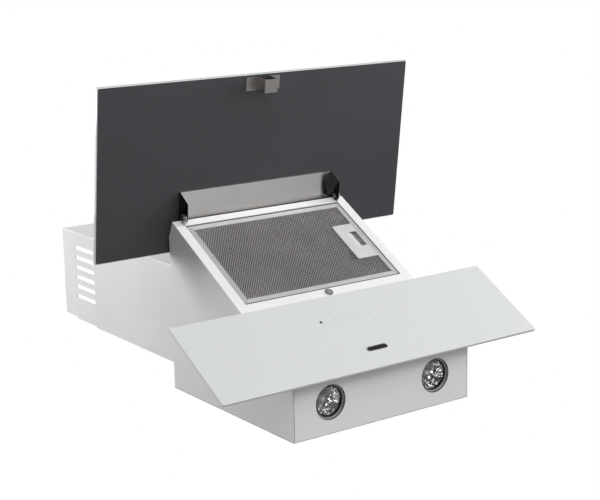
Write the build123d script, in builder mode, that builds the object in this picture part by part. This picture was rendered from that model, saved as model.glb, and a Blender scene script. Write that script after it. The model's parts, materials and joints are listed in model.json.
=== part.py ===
"""An angled range hood: a wedge-shaped suction box under a telescopic chimney, with a hinged glass panel over its
grease filter and a fixed glass panel with a touch strip under it.

Millimetres. +Z is up, +X is right as seen from the room, the wall is the plane Y = 0 and the room is towards -Y.
The origin lies on the wall, midway between the two hanging slots. The hinged panel stands fully open.
"""

import os
from math import atan2, cos, degrees, hypot, radians, sin, tan

from build123d import *

# Body: depths are measured from the wall, heights from the lamp face at its bottom
body_height = 332.0
lamp_face_depth = 94.0
nose_depth = 276.0
nose_drop = 12.0
nose_bevel = 25.0
sheet = 1.0
bend_radius = 1.5
lip = 12.0
seam_round = 0.9
hang_drop = 37.0
hang_spacing = 270.0
hang_slot_length = 16.0
hang_slot_width = 7.0
safety_height = 70.0
fit_gap = 0.1

# Front frame and its filter opening, measured down the slope from the nose
opening_width = 302.2
frame_bar = 16.9
opening_top = 13.1
opening_height = 190.9
opening_corner = 1.0
ledge = 7.0
rim_round = 0.6

# Grease filter
filter_side_gap = 1.0
filter_end_gap = 1.8
filter_recess = 1.0
filter_thickness = 9.0
filter_seat_gap = 0.05
filter_border = 9.4
filter_skin = 1.0
filter_round = 1.2
mesh_sheet = 0.8
layer_sheet = 0.6
layer_count = 3
hinge_tab_length = 14.0
hinge_tab_reach = 3.0
hinge_tab_sheet = 1.0
hinge_tab_drop = 1.5
hinge_tab_spacing = 120.0
hinge_slot_play = 0.8

# Filter handle with its latch slide
handle_reach = 50.6
handle_drop = 111.0
handle_height = 83.0
handle_plate = 1.6
handle_corner = 4.0
handle_wall = 1.2
window_inset = 13.2
window_width = 14.0
window_drop = 107.0
window_height = 36.0
window_ramp = 3.6
slide_inset = 19.5
slide_width = 18.7
slide_height = 41.0
slide_sheet = 1.2
slide_gap = 0.2
slide_travel = 5.0
tongue_width = 12.0
tongue_gap = 0.3

# Hinged upper panel
glass_width = 596.0
glass_thickness = 5.0
glass_corner = 2.0
glass_edge = 0.6
backing_thickness = 0.8
backing_inset = 1.5
panel_standoff = 26.6
panel_reach = 217.9
panel_tail = 60.8
open_angle = 112.2
pivot_drop = 5.3
pivot_height = 8.1
pivot_radius = 2.0
pivot_clearance = 0.05

# Hinge bracket on the upper panel, measured from the pivot, and the lugs that carry it
bracket_sheet = 1.5
bracket_to_free_edge = 38.9
bracket_to_tail = 6.8
ear_inset = 17.95
ear_far_corner = 24.6
ear_depth = 25.5
ear_radius = 7.5
ear_arc = 150.0
ear_shoulder = 6.5
ear_corner_round = 3.0
ear_gap = 0.3
lug_radius = 7.5
lug_sheet = 1.5
lug_lift = 0.4
lug_neck = 8.4
lug_neck_drop = 6.6
lug_foot = 10.0
lug_play = 0.2
screw_head_radius = 4.2
screw_head_height = 2.4
screw_slot = 1.0
screw_taper = 12.0
nut_across = 7.0
nut_height = 3.2
thread_end = 0.6

# Latch bracket on the upper panel and the magnet that holds it
latch_half_width = 12.5
latch_flange_half = 32.0
latch_height = 22.0
latch_sheet = 1.0
latch_centre = 202.2
latch_bend = 1.2
magnet_drop = 213.0
magnet_radius = 5.4
magnet_cup_wall = 1.2
magnet_cup_depth = 7.0
magnet_cup_floor = 1.5
magnet_proud = 1.8
magnet_gap = 0.2
magnet_step = 0.2
magnet_foot = 3.0

# Fixed lower panel and touch strip
lower_top = 225.2
lower_height = 159.7
carrier_sheet = 1.2
carrier_inset = 1.5
touch_drop = 275.5
touch_centre = -14.0
touch_length = 124.0
touch_height = 29.0
touch_depth = 9.0
touch_corner = 3.0
touch_wall = 1.5
touch_gap = 0.5
touch_shelf = 2.0
board_thickness = 1.6

# Lamps, with heights above the lamp face
lamp_spacing = 201.4
lamp_wall_distance = 48.8
bezel_inner = 26.3
bezel_tube = 0.6
bezel_proud = 0.3
bezel_height = 9.0
bezel_flange = 30.0
bezel_flange_sheet = 0.8
bezel_lip = 0.9
bezel_lip_level = 3.4
bezel_lip_height = 0.8
seal_inner = 22.8
seal_height = 1.6
lens_gap = 0.5
lens_thickness = 1.4
reflector_mouth = 22.4
reflector_waist = 17.6
reflector_wall = 0.8
reflector_depth = 24.0
reflector_throat = 7.0
reflector_neck = 5.0
capsule_radius = 4.0
capsule_length = 20.0
socket_radius = 11.0
socket_height = 14.0
socket_bore_depth = 3.0

# Fan: a double-inlet blower with its axis square to the wall
fan_x = -59.0
fan_height = 188.0
scroll_wall_distance = 40.0
scroll_depth = 92.0
scroll_wall = 1.6
scroll_radius = 86.0
scroll_growth = 10.0
tongue_angle = 55.0
tongue_round = 5.0
outlet_left = -50.0
outlet_flange = 8.0
outlet_corner = 3.0
inlet_radius = 60.0
inlet_lip = 3.0
impeller_radius = 70.0
impeller_inner = 57.0
impeller_width = 80.0
blade_count = 32
blade_outer = 69.0
blade_thickness = 1.0
blade_tip_angle = 9.0
blade_middle_angle = 2.6
ring_inner = 56.0
ring_thickness = 1.5
disc_radius = 64.0
hub_radius = 10.0
hub_length = 12.0
disc_thickness = 2.0
shaft_radius = 4.0
shaft_clearance = 0.06
shaft_sunk = 15.0
shaft_stub = 2.0
motor_radius = 40.0
motor_length = 55.0
motor_hub_gap = 2.0
motor_round = 3.0
motor_waist = 0.8
motor_waist_length = 18.0
motor_collar = 3.0
motor_collar_height = 2.0
motor_boss_radius = 12.0
motor_boss_height = 4.0
vent_count = 10
vent_radius = 27.0
vent_length = 14.0
vent_width = 4.0
vent_depth = 2.0
arm_width = 13.0
arm_thickness = 2.5
arm_reach = 74.0
arm_ring = 6.0
arm_ring_gap = 0.1
arm_count = 3
arm_screw_circle = 68.5
arm_screw_radius = 2.0
arm_screw_head = 3.8
arm_screw_height = 2.0
arm_screw_reach = 3.0

# Duct collar with two non-return flaps
duct_radius = 59.5
duct_wall = 2.0
duct_length = 60.0
duct_wall_distance = 86.0
collar_flange = 140.0
collar_flange_sheet = 2.0
collar_corner = 8.0
collar_screw_inset = 8.0
collar_screw_radius = 2.0
collar_screw_head = 3.8
collar_screw_height = 2.0
collar_screw_reach = 6.0
flap_level = 10.0
flap_sheet = 1.2
flap_edge_gap = 0.8
flap_offset = 4.2
flap_barrel = 2.5
flap_pin = 1.5
flap_pin_clearance = 0.06
flap_pin_end = 0.4
flap_end_gap = 0.8
flap_rest_gap = 0.2
flap_ledge = 2.0
flap_ledge_height = 1.5
flap_ledge_break = 9.0
flap_bar_width = 2.4
flap_bar_height = 8.0

# Chimney
chimney_width = 195.0
chimney_depth = 172.0
outer_length = 398.0
inner_length = 400.0
inner_rise = 124.0
chimney_flange = 12.0
telescope_gap = 0.5
slot_count = 6
slot_pitch = 18.8
slot_length = 74.0
slot_width = 8.6
slot_middle_distance = 94.2
slot_top_margin = 48.0
wall_screw_radius = 2.5
wall_screw_drop = 23.0
wall_screw_distance = 13.8
relief_length = 44.0
relief_depth = 3.0
tab_height = 20.0
tab_foot = 12.0
tab_length = 40.0
tab_sheet = 1.2

# Wiring
box_width = 112.0
box_depth = 50.0
box_height = 52.0
box_floor_height = 12.0
box_wall = 2.0
box_corner = 3.0
box_lid_lip = 3.0
capacitor_radius = 15.0
capacitor_length = 45.0
capacitor_x = 110.0
capacitor_height = 150.0
capacitor_round = 2.0
clip_sheet = 1.2
clip_height = 15.0
clip_foot = 48.0
clip_gap = 0.05
gland_x = 84.0
gland_wall_distance = 24.0
gland_radius = 8.0
gland_height = 14.0
gland_shoulder = 6.0
gland_top_radius = 6.0
gland_bore = 3.75
gland_thread = 6.0
gland_reach = 10.0
gland_nut_height = 4.0
gland_nut_across = 15.0

# Levels and planes worked out from the sizes above
roof_z = hang_drop
lamp_z = roof_z - body_height
nose_z = roof_z - nose_drop
opening_half = opening_width / 2
half_width = opening_half + frame_bar
roof_depth = nose_depth - nose_bevel
lean = atan2(nose_depth - lamp_face_depth, body_height - nose_drop)
face_length = hypot(nose_depth - lamp_face_depth, body_height - nose_drop)
opening_bottom = opening_top + opening_height
ear_outer = half_width - ear_inset
outlet_right = scroll_growth / 2 + scroll_radius + 2 * scroll_growth
scroll_front = scroll_wall_distance + scroll_depth
# The blower's outlet inside its walls: left, right, front and rear edge
outlet_edges = (
    outlet_left + scroll_wall,
    fan_x + outlet_right - scroll_wall,
    scroll_wall - scroll_front,
    -scroll_wall_distance - scroll_wall,
)

# The front face: x to the right, y up the slope from the nose edge, z out of the hood
face = Plane(origin=(0, -nose_depth, nose_z), x_dir=(1, 0, 0), z_dir=(0, -cos(lean), -sin(lean)))
# The same face cut through and seen from the right: x up the slope, y out of the hood
face_section = Plane(origin=face.origin, x_dir=face.y_dir, z_dir=(1, 0, 0))

# The open upper panel: x to the right, y to its tail edge, z out of its front, origin opposite the pivot
pivot = face.from_local_coords(Vector(0, -pivot_drop, pivot_height))
pivot_to_panel = panel_standoff - pivot_height
opened = lean - radians(open_angle)
panel_normal = Vector(0, -cos(opened), -sin(opened))
panel = Plane(origin=pivot + panel_normal * pivot_to_panel, x_dir=(1, 0, 0), z_dir=panel_normal)
panel_section = Plane(origin=panel.origin, x_dir=panel.y_dir, z_dir=(1, 0, 0))

pieces = []


def keep(builder, label):
    """Names a finished piece and lists it for writing."""
    builder.part.label = label
    pieces.append(builder.part)


def block(left, right, low, high, mode=Mode.ADD):
    """Draws a rectangle in the open sketch from its four edges."""
    with Locations(((left + right) / 2, (low + high) / 2)):
        Rectangle(right - left, high - low, mode=mode)


def polar(radius, angle):
    """Point at a radius and an angle in degrees."""
    return (radius * cos(radians(angle)), radius * sin(radians(angle)))


def side_profile(front_inset, back_inset, skin):
    """Corners of the body's side view in Y and Z, with its front, back and other walls moved inwards."""
    slope = tan(lean)
    bevel = (nose_depth - roof_depth) / nose_drop
    bevel_inset = skin * hypot(1, bevel)
    front_inset_level = front_inset / cos(lean)
    low, high = lamp_z + skin, roof_z - skin
    low_depth = lamp_face_depth + skin * slope - front_inset_level
    high_depth = nose_depth - (high - nose_z) * bevel - bevel_inset
    # Height above the nose where the moved front meets the moved bevel
    meet = (front_inset_level - bevel_inset) / (slope + bevel)
    meet_depth = nose_depth + meet * slope - front_inset_level
    return [
        (-back_inset, low),
        (-low_depth, low),
        (-meet_depth, nose_z + meet),
        (-high_depth, high),
        (-back_inset, high),
    ]


def side_view(front_inset, back_inset, skin, mode=Mode.ADD):
    """Draws the body's side view in the open sketch, with its walls moved inwards."""
    with BuildLine() as outline:
        Polyline(*side_profile(front_inset, back_inset, skin), close=True)
    make_face(outline.edges(), mode=mode)


def folded_sheet(low, high):
    """Draws what lies between two heights of the body's folded sheet, cut through and seen from the right."""
    side_view(sheet, sheet, 0)
    side_view(2 * sheet, 2 * sheet, sheet, mode=Mode.SUBTRACT)
    block(-nose_depth, 0, low, high, mode=Mode.INTERSECT)


def beside_flanges():
    """Draws the ends of a folded sheet, where the sides' lips leave no room for its flanges."""
    block(-half_width, -flange_half, -nose_depth, 0)
    block(flange_half, half_width, -nose_depth, 0)


def collar_screw_holes():
    """Draws the four holes for the duct collar's screws."""
    with Locations((0, -duct_wall_distance)):
        with GridLocations(screw_square, screw_square, 2, 2):
            Circle(collar_screw_radius + fit_gap)


# Body sides: sheets with one lip that carries the front frame and one for the back plate
for side, name in ((-1, "body_side_left"), (1, "body_side_right")):
    with BuildPart() as body_side:
        with BuildSketch(Plane.YZ.offset(side * half_width)):
            side_view(sheet, sheet, 0)
        extrude(amount=-side * sheet)
        outer_face = body_side.faces().sort_by(Axis.X)[0 if side < 0 else -1]
        seams = outer_face.edges().filter_by(lambda e: abs(e.tangent_at(0.5).Z) < 0.1 or e.center().Z > nose_z)
        fillet(seams, seam_round)
        with BuildSketch(Plane.YZ.offset(side * (half_width - sheet))):
            side_view(sheet, sheet, sheet)
            side_view(2 * sheet, 2 * sheet, sheet, mode=Mode.SUBTRACT)
        extrude(amount=side * (sheet - lip))
    keep(body_side, name)

# Lamp plate: the face under the hood, welded between the sides, with a flange up the frame and one up the back plate
flange_half = half_width - lip - fit_gap
lamp_hole = bezel_inner + bezel_tube + fit_gap
with BuildPart() as lamp_plate:
    with BuildSketch(Plane.YZ):
        folded_sheet(lamp_z, lamp_z + lip)
    extrude(amount=half_width - sheet, both=True)
    with BuildSketch(Plane.XY.offset(lamp_z + sheet)):
        beside_flanges()
    extrude(amount=lip, mode=Mode.SUBTRACT)
    with BuildSketch(Plane.XY.offset(lamp_z)):
        with Locations((0, -lamp_wall_distance)):
            with GridLocations(lamp_spacing, 0, 2, 1):
                Circle(lamp_hole)
    extrude(amount=sheet, mode=Mode.SUBTRACT)
keep(lamp_plate, "lamp_plate")

# Nose plate: the bevelled strip between the front frame and the roof plate
with BuildPart() as nose_plate:
    with BuildSketch(Plane.YZ):
        folded_sheet(nose_z, roof_z)
        block(-nose_depth, -roof_depth, nose_z, roof_z, mode=Mode.INTERSECT)
    extrude(amount=half_width - sheet, both=True)
keep(nose_plate, "nose_plate")

# Roof plate: welded between the sides behind the nose plate, cut out round three sides of the blower's outlet
screw_square = collar_flange - 2 * collar_screw_inset
with BuildPart() as roof_plate:
    with BuildSketch(Plane.XY.offset(roof_z)):
        block(sheet - half_width, half_width - sheet, -roof_depth, outlet_edges[-1])
    extrude(amount=-sheet)
    with BuildSketch(Plane.XY.offset(roof_z)):
        block(*outlet_edges)
        fillet(vertices().group_by(Axis.Y)[0], outlet_corner)
        collar_screw_holes()
    extrude(amount=-sheet, mode=Mode.SUBTRACT)
keep(roof_plate, "roof_plate")

# Roof strip: closes the outlet's fourth side, with a flange down the back plate and the cable gland's hole
with BuildPart() as roof_strip:
    with BuildSketch(Plane.YZ):
        folded_sheet(roof_z - lip, roof_z)
        block(outlet_edges[-1], 0, roof_z - lip, roof_z, mode=Mode.INTERSECT)
    extrude(amount=half_width - sheet, both=True)
    with BuildSketch(Plane.XY.offset(roof_z - lip)):
        beside_flanges()
    extrude(amount=lip - sheet, mode=Mode.SUBTRACT)
    with BuildSketch(Plane.XY.offset(roof_z)):
        collar_screw_holes()
        with Locations((gland_x, -gland_wall_distance)):
            Circle(gland_thread + fit_gap)
    extrude(amount=-sheet, mode=Mode.SUBTRACT)
keep(roof_strip, "roof_strip")

# Back plate with two slots to hang it by and two safety holes under them
with BuildPart() as back_plate:
    with BuildSketch(Plane.XZ):
        block(-half_width, half_width, lamp_z, roof_z)
        with GridLocations(hang_spacing, 0, 2, 1):
            SlotOverall(hang_slot_length, hang_slot_width, mode=Mode.SUBTRACT)
        with Locations((0, lamp_z + safety_height)):
            with GridLocations(hang_spacing, 0, 2, 1):
                Circle(hang_slot_width / 2, mode=Mode.SUBTRACT)
    extrude(amount=sheet)
keep(back_plate, "back_plate")

# Front frame: a flat sheet with a well that the grease filter sits in
well_depth = filter_recess + filter_thickness + filter_seat_gap + sheet
hinge_tab_level = filter_recess + hinge_tab_drop
lug_inner = ear_outer + ear_gap
magnet_cup_radius = magnet_radius + magnet_cup_wall
with BuildPart() as front_frame:
    with BuildSketch(face):
        block(-half_width, half_width, -face_length - sheet, 0)
    extrude(amount=-sheet)
    split(bisect_by=Plane.XY.offset(lamp_z), keep=Keep.TOP)
    skin_face = front_frame.faces().sort_by(Axis(face.origin, face.z_dir))[-1]
    fillet(skin_face.edges().filter_by(Axis(face.origin, face.y_dir)), rim_round)
    with BuildSketch(face):
        block(-opening_half - sheet, opening_half + sheet, -opening_bottom - sheet, -opening_top + sheet)
    extrude(amount=-well_depth)
    with BuildSketch(face):
        block(-opening_half, opening_half, -opening_bottom, -opening_top)
        fillet(vertices(), opening_corner)
    extrude(amount=-well_depth + sheet, mode=Mode.SUBTRACT)
    with BuildSketch(face):
        block(-opening_half + ledge, opening_half - ledge, -opening_bottom + ledge, -opening_top - ledge)
    extrude(amount=-well_depth, mode=Mode.SUBTRACT)
    # Slots in the left wall for the filter's hinge tabs
    with BuildSketch(face.offset(-sheet)):
        with Locations((-opening_half - sheet / 2, -opening_top - opening_height / 2)):
            with GridLocations(0, hinge_tab_spacing, 1, 2):
                Rectangle(2 * sheet, hinge_tab_length + 2 * hinge_slot_play)
    extrude(amount=sheet - hinge_tab_level - hinge_tab_sheet / 2 - hinge_slot_play, mode=Mode.SUBTRACT)
    # Opening in the right wall for the filter's latch tongue
    with BuildSketch(face.offset(-sheet)):
        with Locations((opening_half + sheet / 2, -window_drop)):
            Rectangle(2 * sheet, tongue_width + 2 * hinge_slot_play)
    extrude(amount=2 * sheet - well_depth, mode=Mode.SUBTRACT)
    # Slits for the hinge lugs, a hole for the magnet and a window for the touch housing
    with BuildSketch(face):
        for side in (-1, 1):
            with Locations((side * (lug_inner + lug_sheet / 2), -lug_neck_drop)):
                Rectangle(lug_sheet + 2 * lug_play, lug_neck + 2 * lug_play)
        with Locations((0, -magnet_drop)):
            Circle(magnet_cup_radius + fit_gap)
        with Locations((touch_centre, -touch_drop)):
            Rectangle(touch_length + 2 * touch_gap, touch_height + 2 * touch_gap)
    extrude(amount=-sheet, mode=Mode.SUBTRACT)
keep(front_frame, "front_frame")

# Hinge lugs: rounded plates that stand through the frame, each with a foot under it
with BuildPart() as hinge_lugs:
    for side in (-1, 1):
        outward = Plane(origin=face.origin, x_dir=face.y_dir * side, z_dir=(side, 0, 0))
        with BuildSketch(outward.offset(lug_inner)):
            with Locations((-side * pivot_drop, pivot_height)):
                Circle(lug_radius)
                with Locations((0, (lug_lift - pivot_height) / 2)):
                    Rectangle(2 * lug_radius, pivot_height - lug_lift)
            with Locations((-side * lug_neck_drop, (pivot_height - sheet - lug_sheet) / 2)):
                Rectangle(lug_neck, pivot_height + sheet + lug_sheet)
            with Locations((-side * pivot_drop, pivot_height)):
                Circle(pivot_radius + pivot_clearance, mode=Mode.SUBTRACT)
        extrude(amount=lug_sheet)
        with BuildSketch(face.offset(-sheet)):
            with Locations((side * (lug_inner + (lug_sheet - lug_foot) / 2), -lug_neck_drop)):
                Rectangle(lug_foot + lug_sheet, lug_neck)
        extrude(amount=-lug_sheet)
keep(hinge_lugs, "hinge_lugs")

# Pivot screws, headed outside the lugs, and their nuts inside the bracket's ears
head_start = lug_inner + lug_sheet
nut_start = ear_outer - bracket_sheet - ear_gap
with BuildPart() as pivot_screws:
    for side in (-1, 1):
        outward = Plane(origin=pivot, x_dir=face.y_dir * side, z_dir=(side, 0, 0))
        with BuildSketch(outward.offset(nut_start - nut_height - thread_end)):
            Circle(pivot_radius)
        extrude(amount=head_start - nut_start + nut_height + thread_end)
        with BuildSketch(outward.offset(head_start)):
            Circle(screw_head_radius)
        extrude(amount=screw_head_height, taper=screw_taper)
        with BuildSketch(outward.offset(head_start + screw_head_height / 2)):
            Rectangle(2 * screw_head_radius, screw_slot)
            Rectangle(screw_slot, 2 * screw_head_radius)
        extrude(amount=screw_head_height, mode=Mode.SUBTRACT)
keep(pivot_screws, "pivot_screws")

with BuildPart() as pivot_nuts:
    for side in (-1, 1):
        outward = Plane(origin=pivot, x_dir=face.y_dir * side, z_dir=(side, 0, 0))
        with BuildSketch(outward.offset(nut_start - nut_height)):
            RegularPolygon(nut_across / 2, 6, major_radius=False)
            Circle(pivot_radius, mode=Mode.SUBTRACT)
        extrude(amount=nut_height)
keep(pivot_nuts, "pivot_nuts")

# Upper panel: a dark backing sheet with the glass on its front
with BuildPart() as upper_backing:
    with BuildSketch(panel):
        half_glass = glass_width / 2 - backing_inset
        block(-half_glass, half_glass, -panel_reach + backing_inset, panel_tail - backing_inset)
        fillet(vertices(), glass_corner)
    extrude(amount=backing_thickness)
keep(upper_backing, "upper_backing")

with BuildPart() as upper_glass:
    with BuildSketch(panel.offset(backing_thickness)):
        block(-glass_width / 2, glass_width / 2, -panel_reach, panel_tail)
        fillet(vertices(), glass_corner)
    extrude(amount=glass_thickness)
    chamfer(upper_glass.faces().filter_by(Axis(panel.origin, panel.z_dir)).edges(), glass_edge)
keep(upper_glass, "upper_glass")

# Hinge bracket: a web across the backing with an ear bent down at each end
with BuildPart() as hinge_bracket:
    with BuildSketch(panel_section):
        with BuildLine():
            eye = CenterArc((0, -pivot_to_panel), ear_radius, -90, ear_arc)
            Polyline(
                eye @ 1,
                (bracket_to_tail, -ear_shoulder),
                (bracket_to_tail, 0),
                (-bracket_to_free_edge, 0),
                (-ear_far_corner, -ear_depth),
                eye @ 0,
            )
        make_face()
        fillet(vertices().sort_by(Axis.X)[1], ear_corner_round)
    extrude(amount=ear_outer, both=True)
    bends = hinge_bracket.edges().filter_by(Axis(panel.origin, panel.y_dir))
    fillet(bends.filter_by(lambda e: abs(panel.to_local_coords(e.center()).Z) < bracket_sheet), 1.2 * bracket_sheet)
    with BuildSketch(panel.offset(-bracket_sheet)):
        inner_half = ear_outer - bracket_sheet
        block(-inner_half, inner_half, -bracket_to_free_edge - 1, bracket_to_tail + ear_radius)
    extrude(amount=-panel_standoff, mode=Mode.SUBTRACT)
    with BuildSketch(panel_section):
        with Locations((0, -pivot_to_panel)):
            Circle(pivot_radius + pivot_clearance)
    extrude(amount=ear_outer, both=True, mode=Mode.SUBTRACT)
keep(hinge_bracket, "hinge_bracket")

# Latch bracket: a hat section whose crown meets the magnet when the panel is shut
latch_depth = panel_standoff - magnet_proud - magnet_gap
latch_end = panel.from_local_coords(Vector(0, -latch_centre + latch_height / 2, 0))
with BuildPart() as latch_bracket:
    with BuildSketch(Plane(origin=latch_end, x_dir=(1, 0, 0), z_dir=panel.y_dir * -1)):
        block(-latch_flange_half, latch_flange_half, -latch_sheet, 0)
        block(-latch_half_width, latch_half_width, -latch_depth, 0)
        inner_half = latch_half_width - latch_sheet
        block(-inner_half, inner_half, -latch_depth + latch_sheet, 0, mode=Mode.SUBTRACT)
        fillet(vertices().group_by(Axis.Y)[0], latch_bend)
    extrude(amount=latch_height)
keep(latch_bracket, "latch_bracket")

# Magnet in its cup, held under the frame's lower bar by a foot
with BuildPart() as magnet_holder:
    with BuildSketch(face.offset(-magnet_cup_depth)):
        with Locations((0, -magnet_drop)):
            Circle(magnet_cup_radius)
    extrude(amount=magnet_cup_depth + magnet_proud - magnet_step)
    with BuildSketch(face.offset(-sheet)):
        foot_half = magnet_cup_radius + magnet_foot
        block(-foot_half, foot_half, -magnet_drop - foot_half, -magnet_drop + magnet_cup_radius)
    extrude(amount=-magnet_cup_wall)
    with BuildSketch(face.offset(magnet_cup_floor - magnet_cup_depth)):
        with Locations((0, -magnet_drop)):
            Circle(magnet_radius)
    extrude(amount=magnet_cup_depth + magnet_proud, mode=Mode.SUBTRACT)
keep(magnet_holder, "magnet_holder")

with BuildPart() as magnet:
    with BuildSketch(face.offset(magnet_cup_floor - magnet_cup_depth)):
        with Locations((0, -magnet_drop)):
            Circle(magnet_radius)
    extrude(amount=magnet_cup_depth - magnet_cup_floor + magnet_proud)
    chamfer(magnet.faces().sort_by(Axis(face.origin, face.z_dir))[-1].edges(), magnet_step)
keep(magnet, "magnet")

# Grease filter: a folded channel frame with tabs on its left edge
filter_half = opening_half - filter_side_gap
filter_high = -opening_top - filter_end_gap
filter_low = -opening_bottom + filter_end_gap
filter_face = face.offset(-filter_recess)
channel_depth = filter_thickness - 2 * filter_skin
slide_face = filter_face.offset(-filter_skin)
tray_floor_level = channel_depth - mesh_sheet - slide_gap
tongue_level = tray_floor_level - handle_wall - slide_gap
with BuildPart() as filter_frame:
    with BuildSketch(filter_face):
        block(-filter_half, filter_half, filter_low, filter_high)
        fillet(vertices(), opening_corner)
    extrude(amount=-filter_thickness)
    fillet(filter_frame.faces().sort_by(Axis(face.origin, face.z_dir))[-1].edges(), filter_round)
    with BuildSketch(slide_face):
        inner_half = filter_half - filter_skin
        block(-inner_half, inner_half, filter_low + filter_skin, filter_high - filter_skin)
    extrude(amount=-channel_depth, mode=Mode.SUBTRACT)
    with BuildSketch(filter_face):
        inner_half = filter_half - filter_border
        block(-inner_half, inner_half, filter_low + filter_border, filter_high - filter_border)
    extrude(amount=-filter_thickness, mode=Mode.SUBTRACT)
    with BuildSketch(face.offset(hinge_tab_sheet / 2 - hinge_tab_level)):
        with Locations((-filter_half - (hinge_tab_reach - filter_skin) / 2, -opening_top - opening_height / 2)):
            with GridLocations(0, hinge_tab_spacing, 1, 2):
                Rectangle(hinge_tab_reach + filter_skin, hinge_tab_length)
    extrude(amount=-hinge_tab_sheet)
    with BuildSketch(slide_face.offset(slide_sheet + slide_gap - tongue_level)):
        with Locations((filter_half - filter_skin / 2, -window_drop)):
            Rectangle(2 * filter_skin, tongue_width + 2 * slide_gap)
    extrude(amount=-slide_sheet - 2 * slide_gap, mode=Mode.SUBTRACT)
keep(filter_frame, "filter_frame")

# Filter handle: a plate over the mesh with a tray behind its finger window
handle_left = opening_half - handle_reach
handle_right = filter_half - filter_border - fit_gap
window_right = opening_half - window_inset
window_left = window_right - window_width
slide_right = opening_half - slide_inset
slide_left = slide_right - slide_width
tray_left = slide_left - slide_travel - slide_gap
tray_right = window_right
tray_half = slide_height / 2 + slide_gap
window_top = slide_face.from_local_coords(Vector(0, window_height / 2 - window_drop, 0))
slide_top = slide_face.from_local_coords(Vector(0, slide_height / 2 - window_drop, 0))
with BuildPart() as filter_handle:
    with BuildSketch(slide_face):
        block(handle_left, handle_right, -handle_drop - handle_height / 2, -handle_drop + handle_height / 2)
        fillet(vertices().group_by(Axis.X)[0], handle_corner)
    extrude(amount=handle_plate)
    chamfer(filter_handle.faces().sort_by(Axis(face.origin, face.z_dir))[-1].edges(), filter_round / 3)
    with BuildSketch(slide_face):
        tray_outer = tray_half + handle_wall
        block(tray_left - handle_wall, tray_right + handle_wall, -window_drop - tray_outer, -window_drop + tray_outer)
    extrude(amount=-tray_floor_level)
    with BuildSketch(slide_face):
        block(tray_left, tray_right, -window_drop - tray_half, -window_drop + tray_half)
    extrude(amount=handle_wall - tray_floor_level, mode=Mode.SUBTRACT)
    # The window: square-cut on the right and sloped on the left, where the finger slides in
    with BuildSketch(Plane(origin=window_top, x_dir=(1, 0, 0), z_dir=face.y_dir)):
        with BuildLine():
            Polyline(
                (window_left - window_ramp, -handle_plate),
                (window_left, 0),
                (window_right, 0),
                (window_right, -handle_plate),
                close=True,
            )
        make_face()
    extrude(amount=-window_height, mode=Mode.SUBTRACT)
    with BuildSketch(slide_face.offset(slide_sheet + slide_gap - tongue_level)):
        with Locations((tray_right + handle_wall / 2, -window_drop)):
            Rectangle(2 * handle_wall, tongue_width + 2 * slide_gap)
    extrude(amount=-slide_sheet - 2 * slide_gap, mode=Mode.SUBTRACT)
keep(filter_handle, "filter_handle")

# Latch slide: a ramped thumb plate behind the window and the tongue that runs to the filter's right edge
with BuildPart() as filter_latch:
    with BuildSketch(Plane(origin=slide_top, x_dir=(1, 0, 0), z_dir=face.y_dir)):
        with BuildLine():
            Polyline(
                (slide_left, slide_gap),
                (window_left, slide_gap),
                (slide_right, tongue_level - slide_sheet),
                (opening_half - tongue_gap, tongue_level - slide_sheet),
                (opening_half - tongue_gap, tongue_level),
                (slide_right - slide_sheet, tongue_level),
                (window_left, slide_gap + 1.5 * slide_sheet),
                (slide_left, slide_gap + 1.5 * slide_sheet),
                close=True,
            )
        make_face()
    extrude(amount=-slide_height)
    with BuildSketch(slide_face):
        tongue_half = tongue_width / 2
        block(slide_right, opening_half, -window_drop + tongue_half, -window_drop + slide_height / 2)
        block(slide_right, opening_half, -window_drop - slide_height / 2, -window_drop - tongue_half)
    extrude(amount=-tongue_level, mode=Mode.SUBTRACT)
keep(filter_latch, "filter_latch")

# Filter meshes: an outer layer on each side, cut out round the handle's tray, and loose layers between them
tray_edge = tray_half + handle_wall + fit_gap
mesh_half = filter_half - filter_skin
mesh_high = filter_high - filter_skin
mesh_low = filter_low + filter_skin
layer_pitch = (channel_depth - 2 * mesh_sheet) / layer_count


def tray_cut_out():
    """Takes the handle's tray out of the open mesh sketch."""
    left = tray_left - handle_wall - fit_gap
    right = tray_right + handle_wall + fit_gap
    block(left, right, -window_drop - tray_edge, -window_drop + tray_edge, mode=Mode.SUBTRACT)


with BuildPart() as filter_mesh_front:
    with BuildSketch(slide_face):
        block(-mesh_half, mesh_half, mesh_low, mesh_high)
        tray_cut_out()
    extrude(amount=-mesh_sheet)
keep(filter_mesh_front, "filter_mesh_front")

with BuildPart() as filter_mesh_layers:
    for layer in range(layer_count):
        with BuildSketch(slide_face.offset(-mesh_sheet - (layer + 0.5) * layer_pitch + layer_sheet / 2)):
            block(-mesh_half, mesh_half, mesh_low, mesh_high)
            tray_cut_out()
            tongue_edge = tongue_half + slide_gap
            block(tray_right, filter_half, -window_drop - tongue_edge, -window_drop + tongue_edge, mode=Mode.SUBTRACT)
        extrude(amount=-layer_sheet)
keep(filter_mesh_layers, "filter_mesh_layers")

with BuildPart() as filter_mesh_back:
    with BuildSketch(slide_face.offset(mesh_sheet - channel_depth)):
        block(-mesh_half, mesh_half, mesh_low, mesh_high)
    extrude(amount=-mesh_sheet)
keep(filter_mesh_back, "filter_mesh_back")

# Fixed lower panel: a carrier sheet on the frame with the glass on its front
lower_bottom = -lower_top - lower_height
with BuildPart() as lower_carrier:
    with BuildSketch(face):
        half_glass = glass_width / 2 - carrier_inset
        block(-half_glass, half_glass, lower_bottom + carrier_inset, -lower_top - carrier_inset)
        fillet(vertices(), glass_corner)
        with Locations((touch_centre, -touch_drop)):
            Rectangle(touch_length + 2 * touch_gap, touch_height + 2 * touch_gap, mode=Mode.SUBTRACT)
    extrude(amount=carrier_sheet)
keep(lower_carrier, "lower_carrier")

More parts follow.
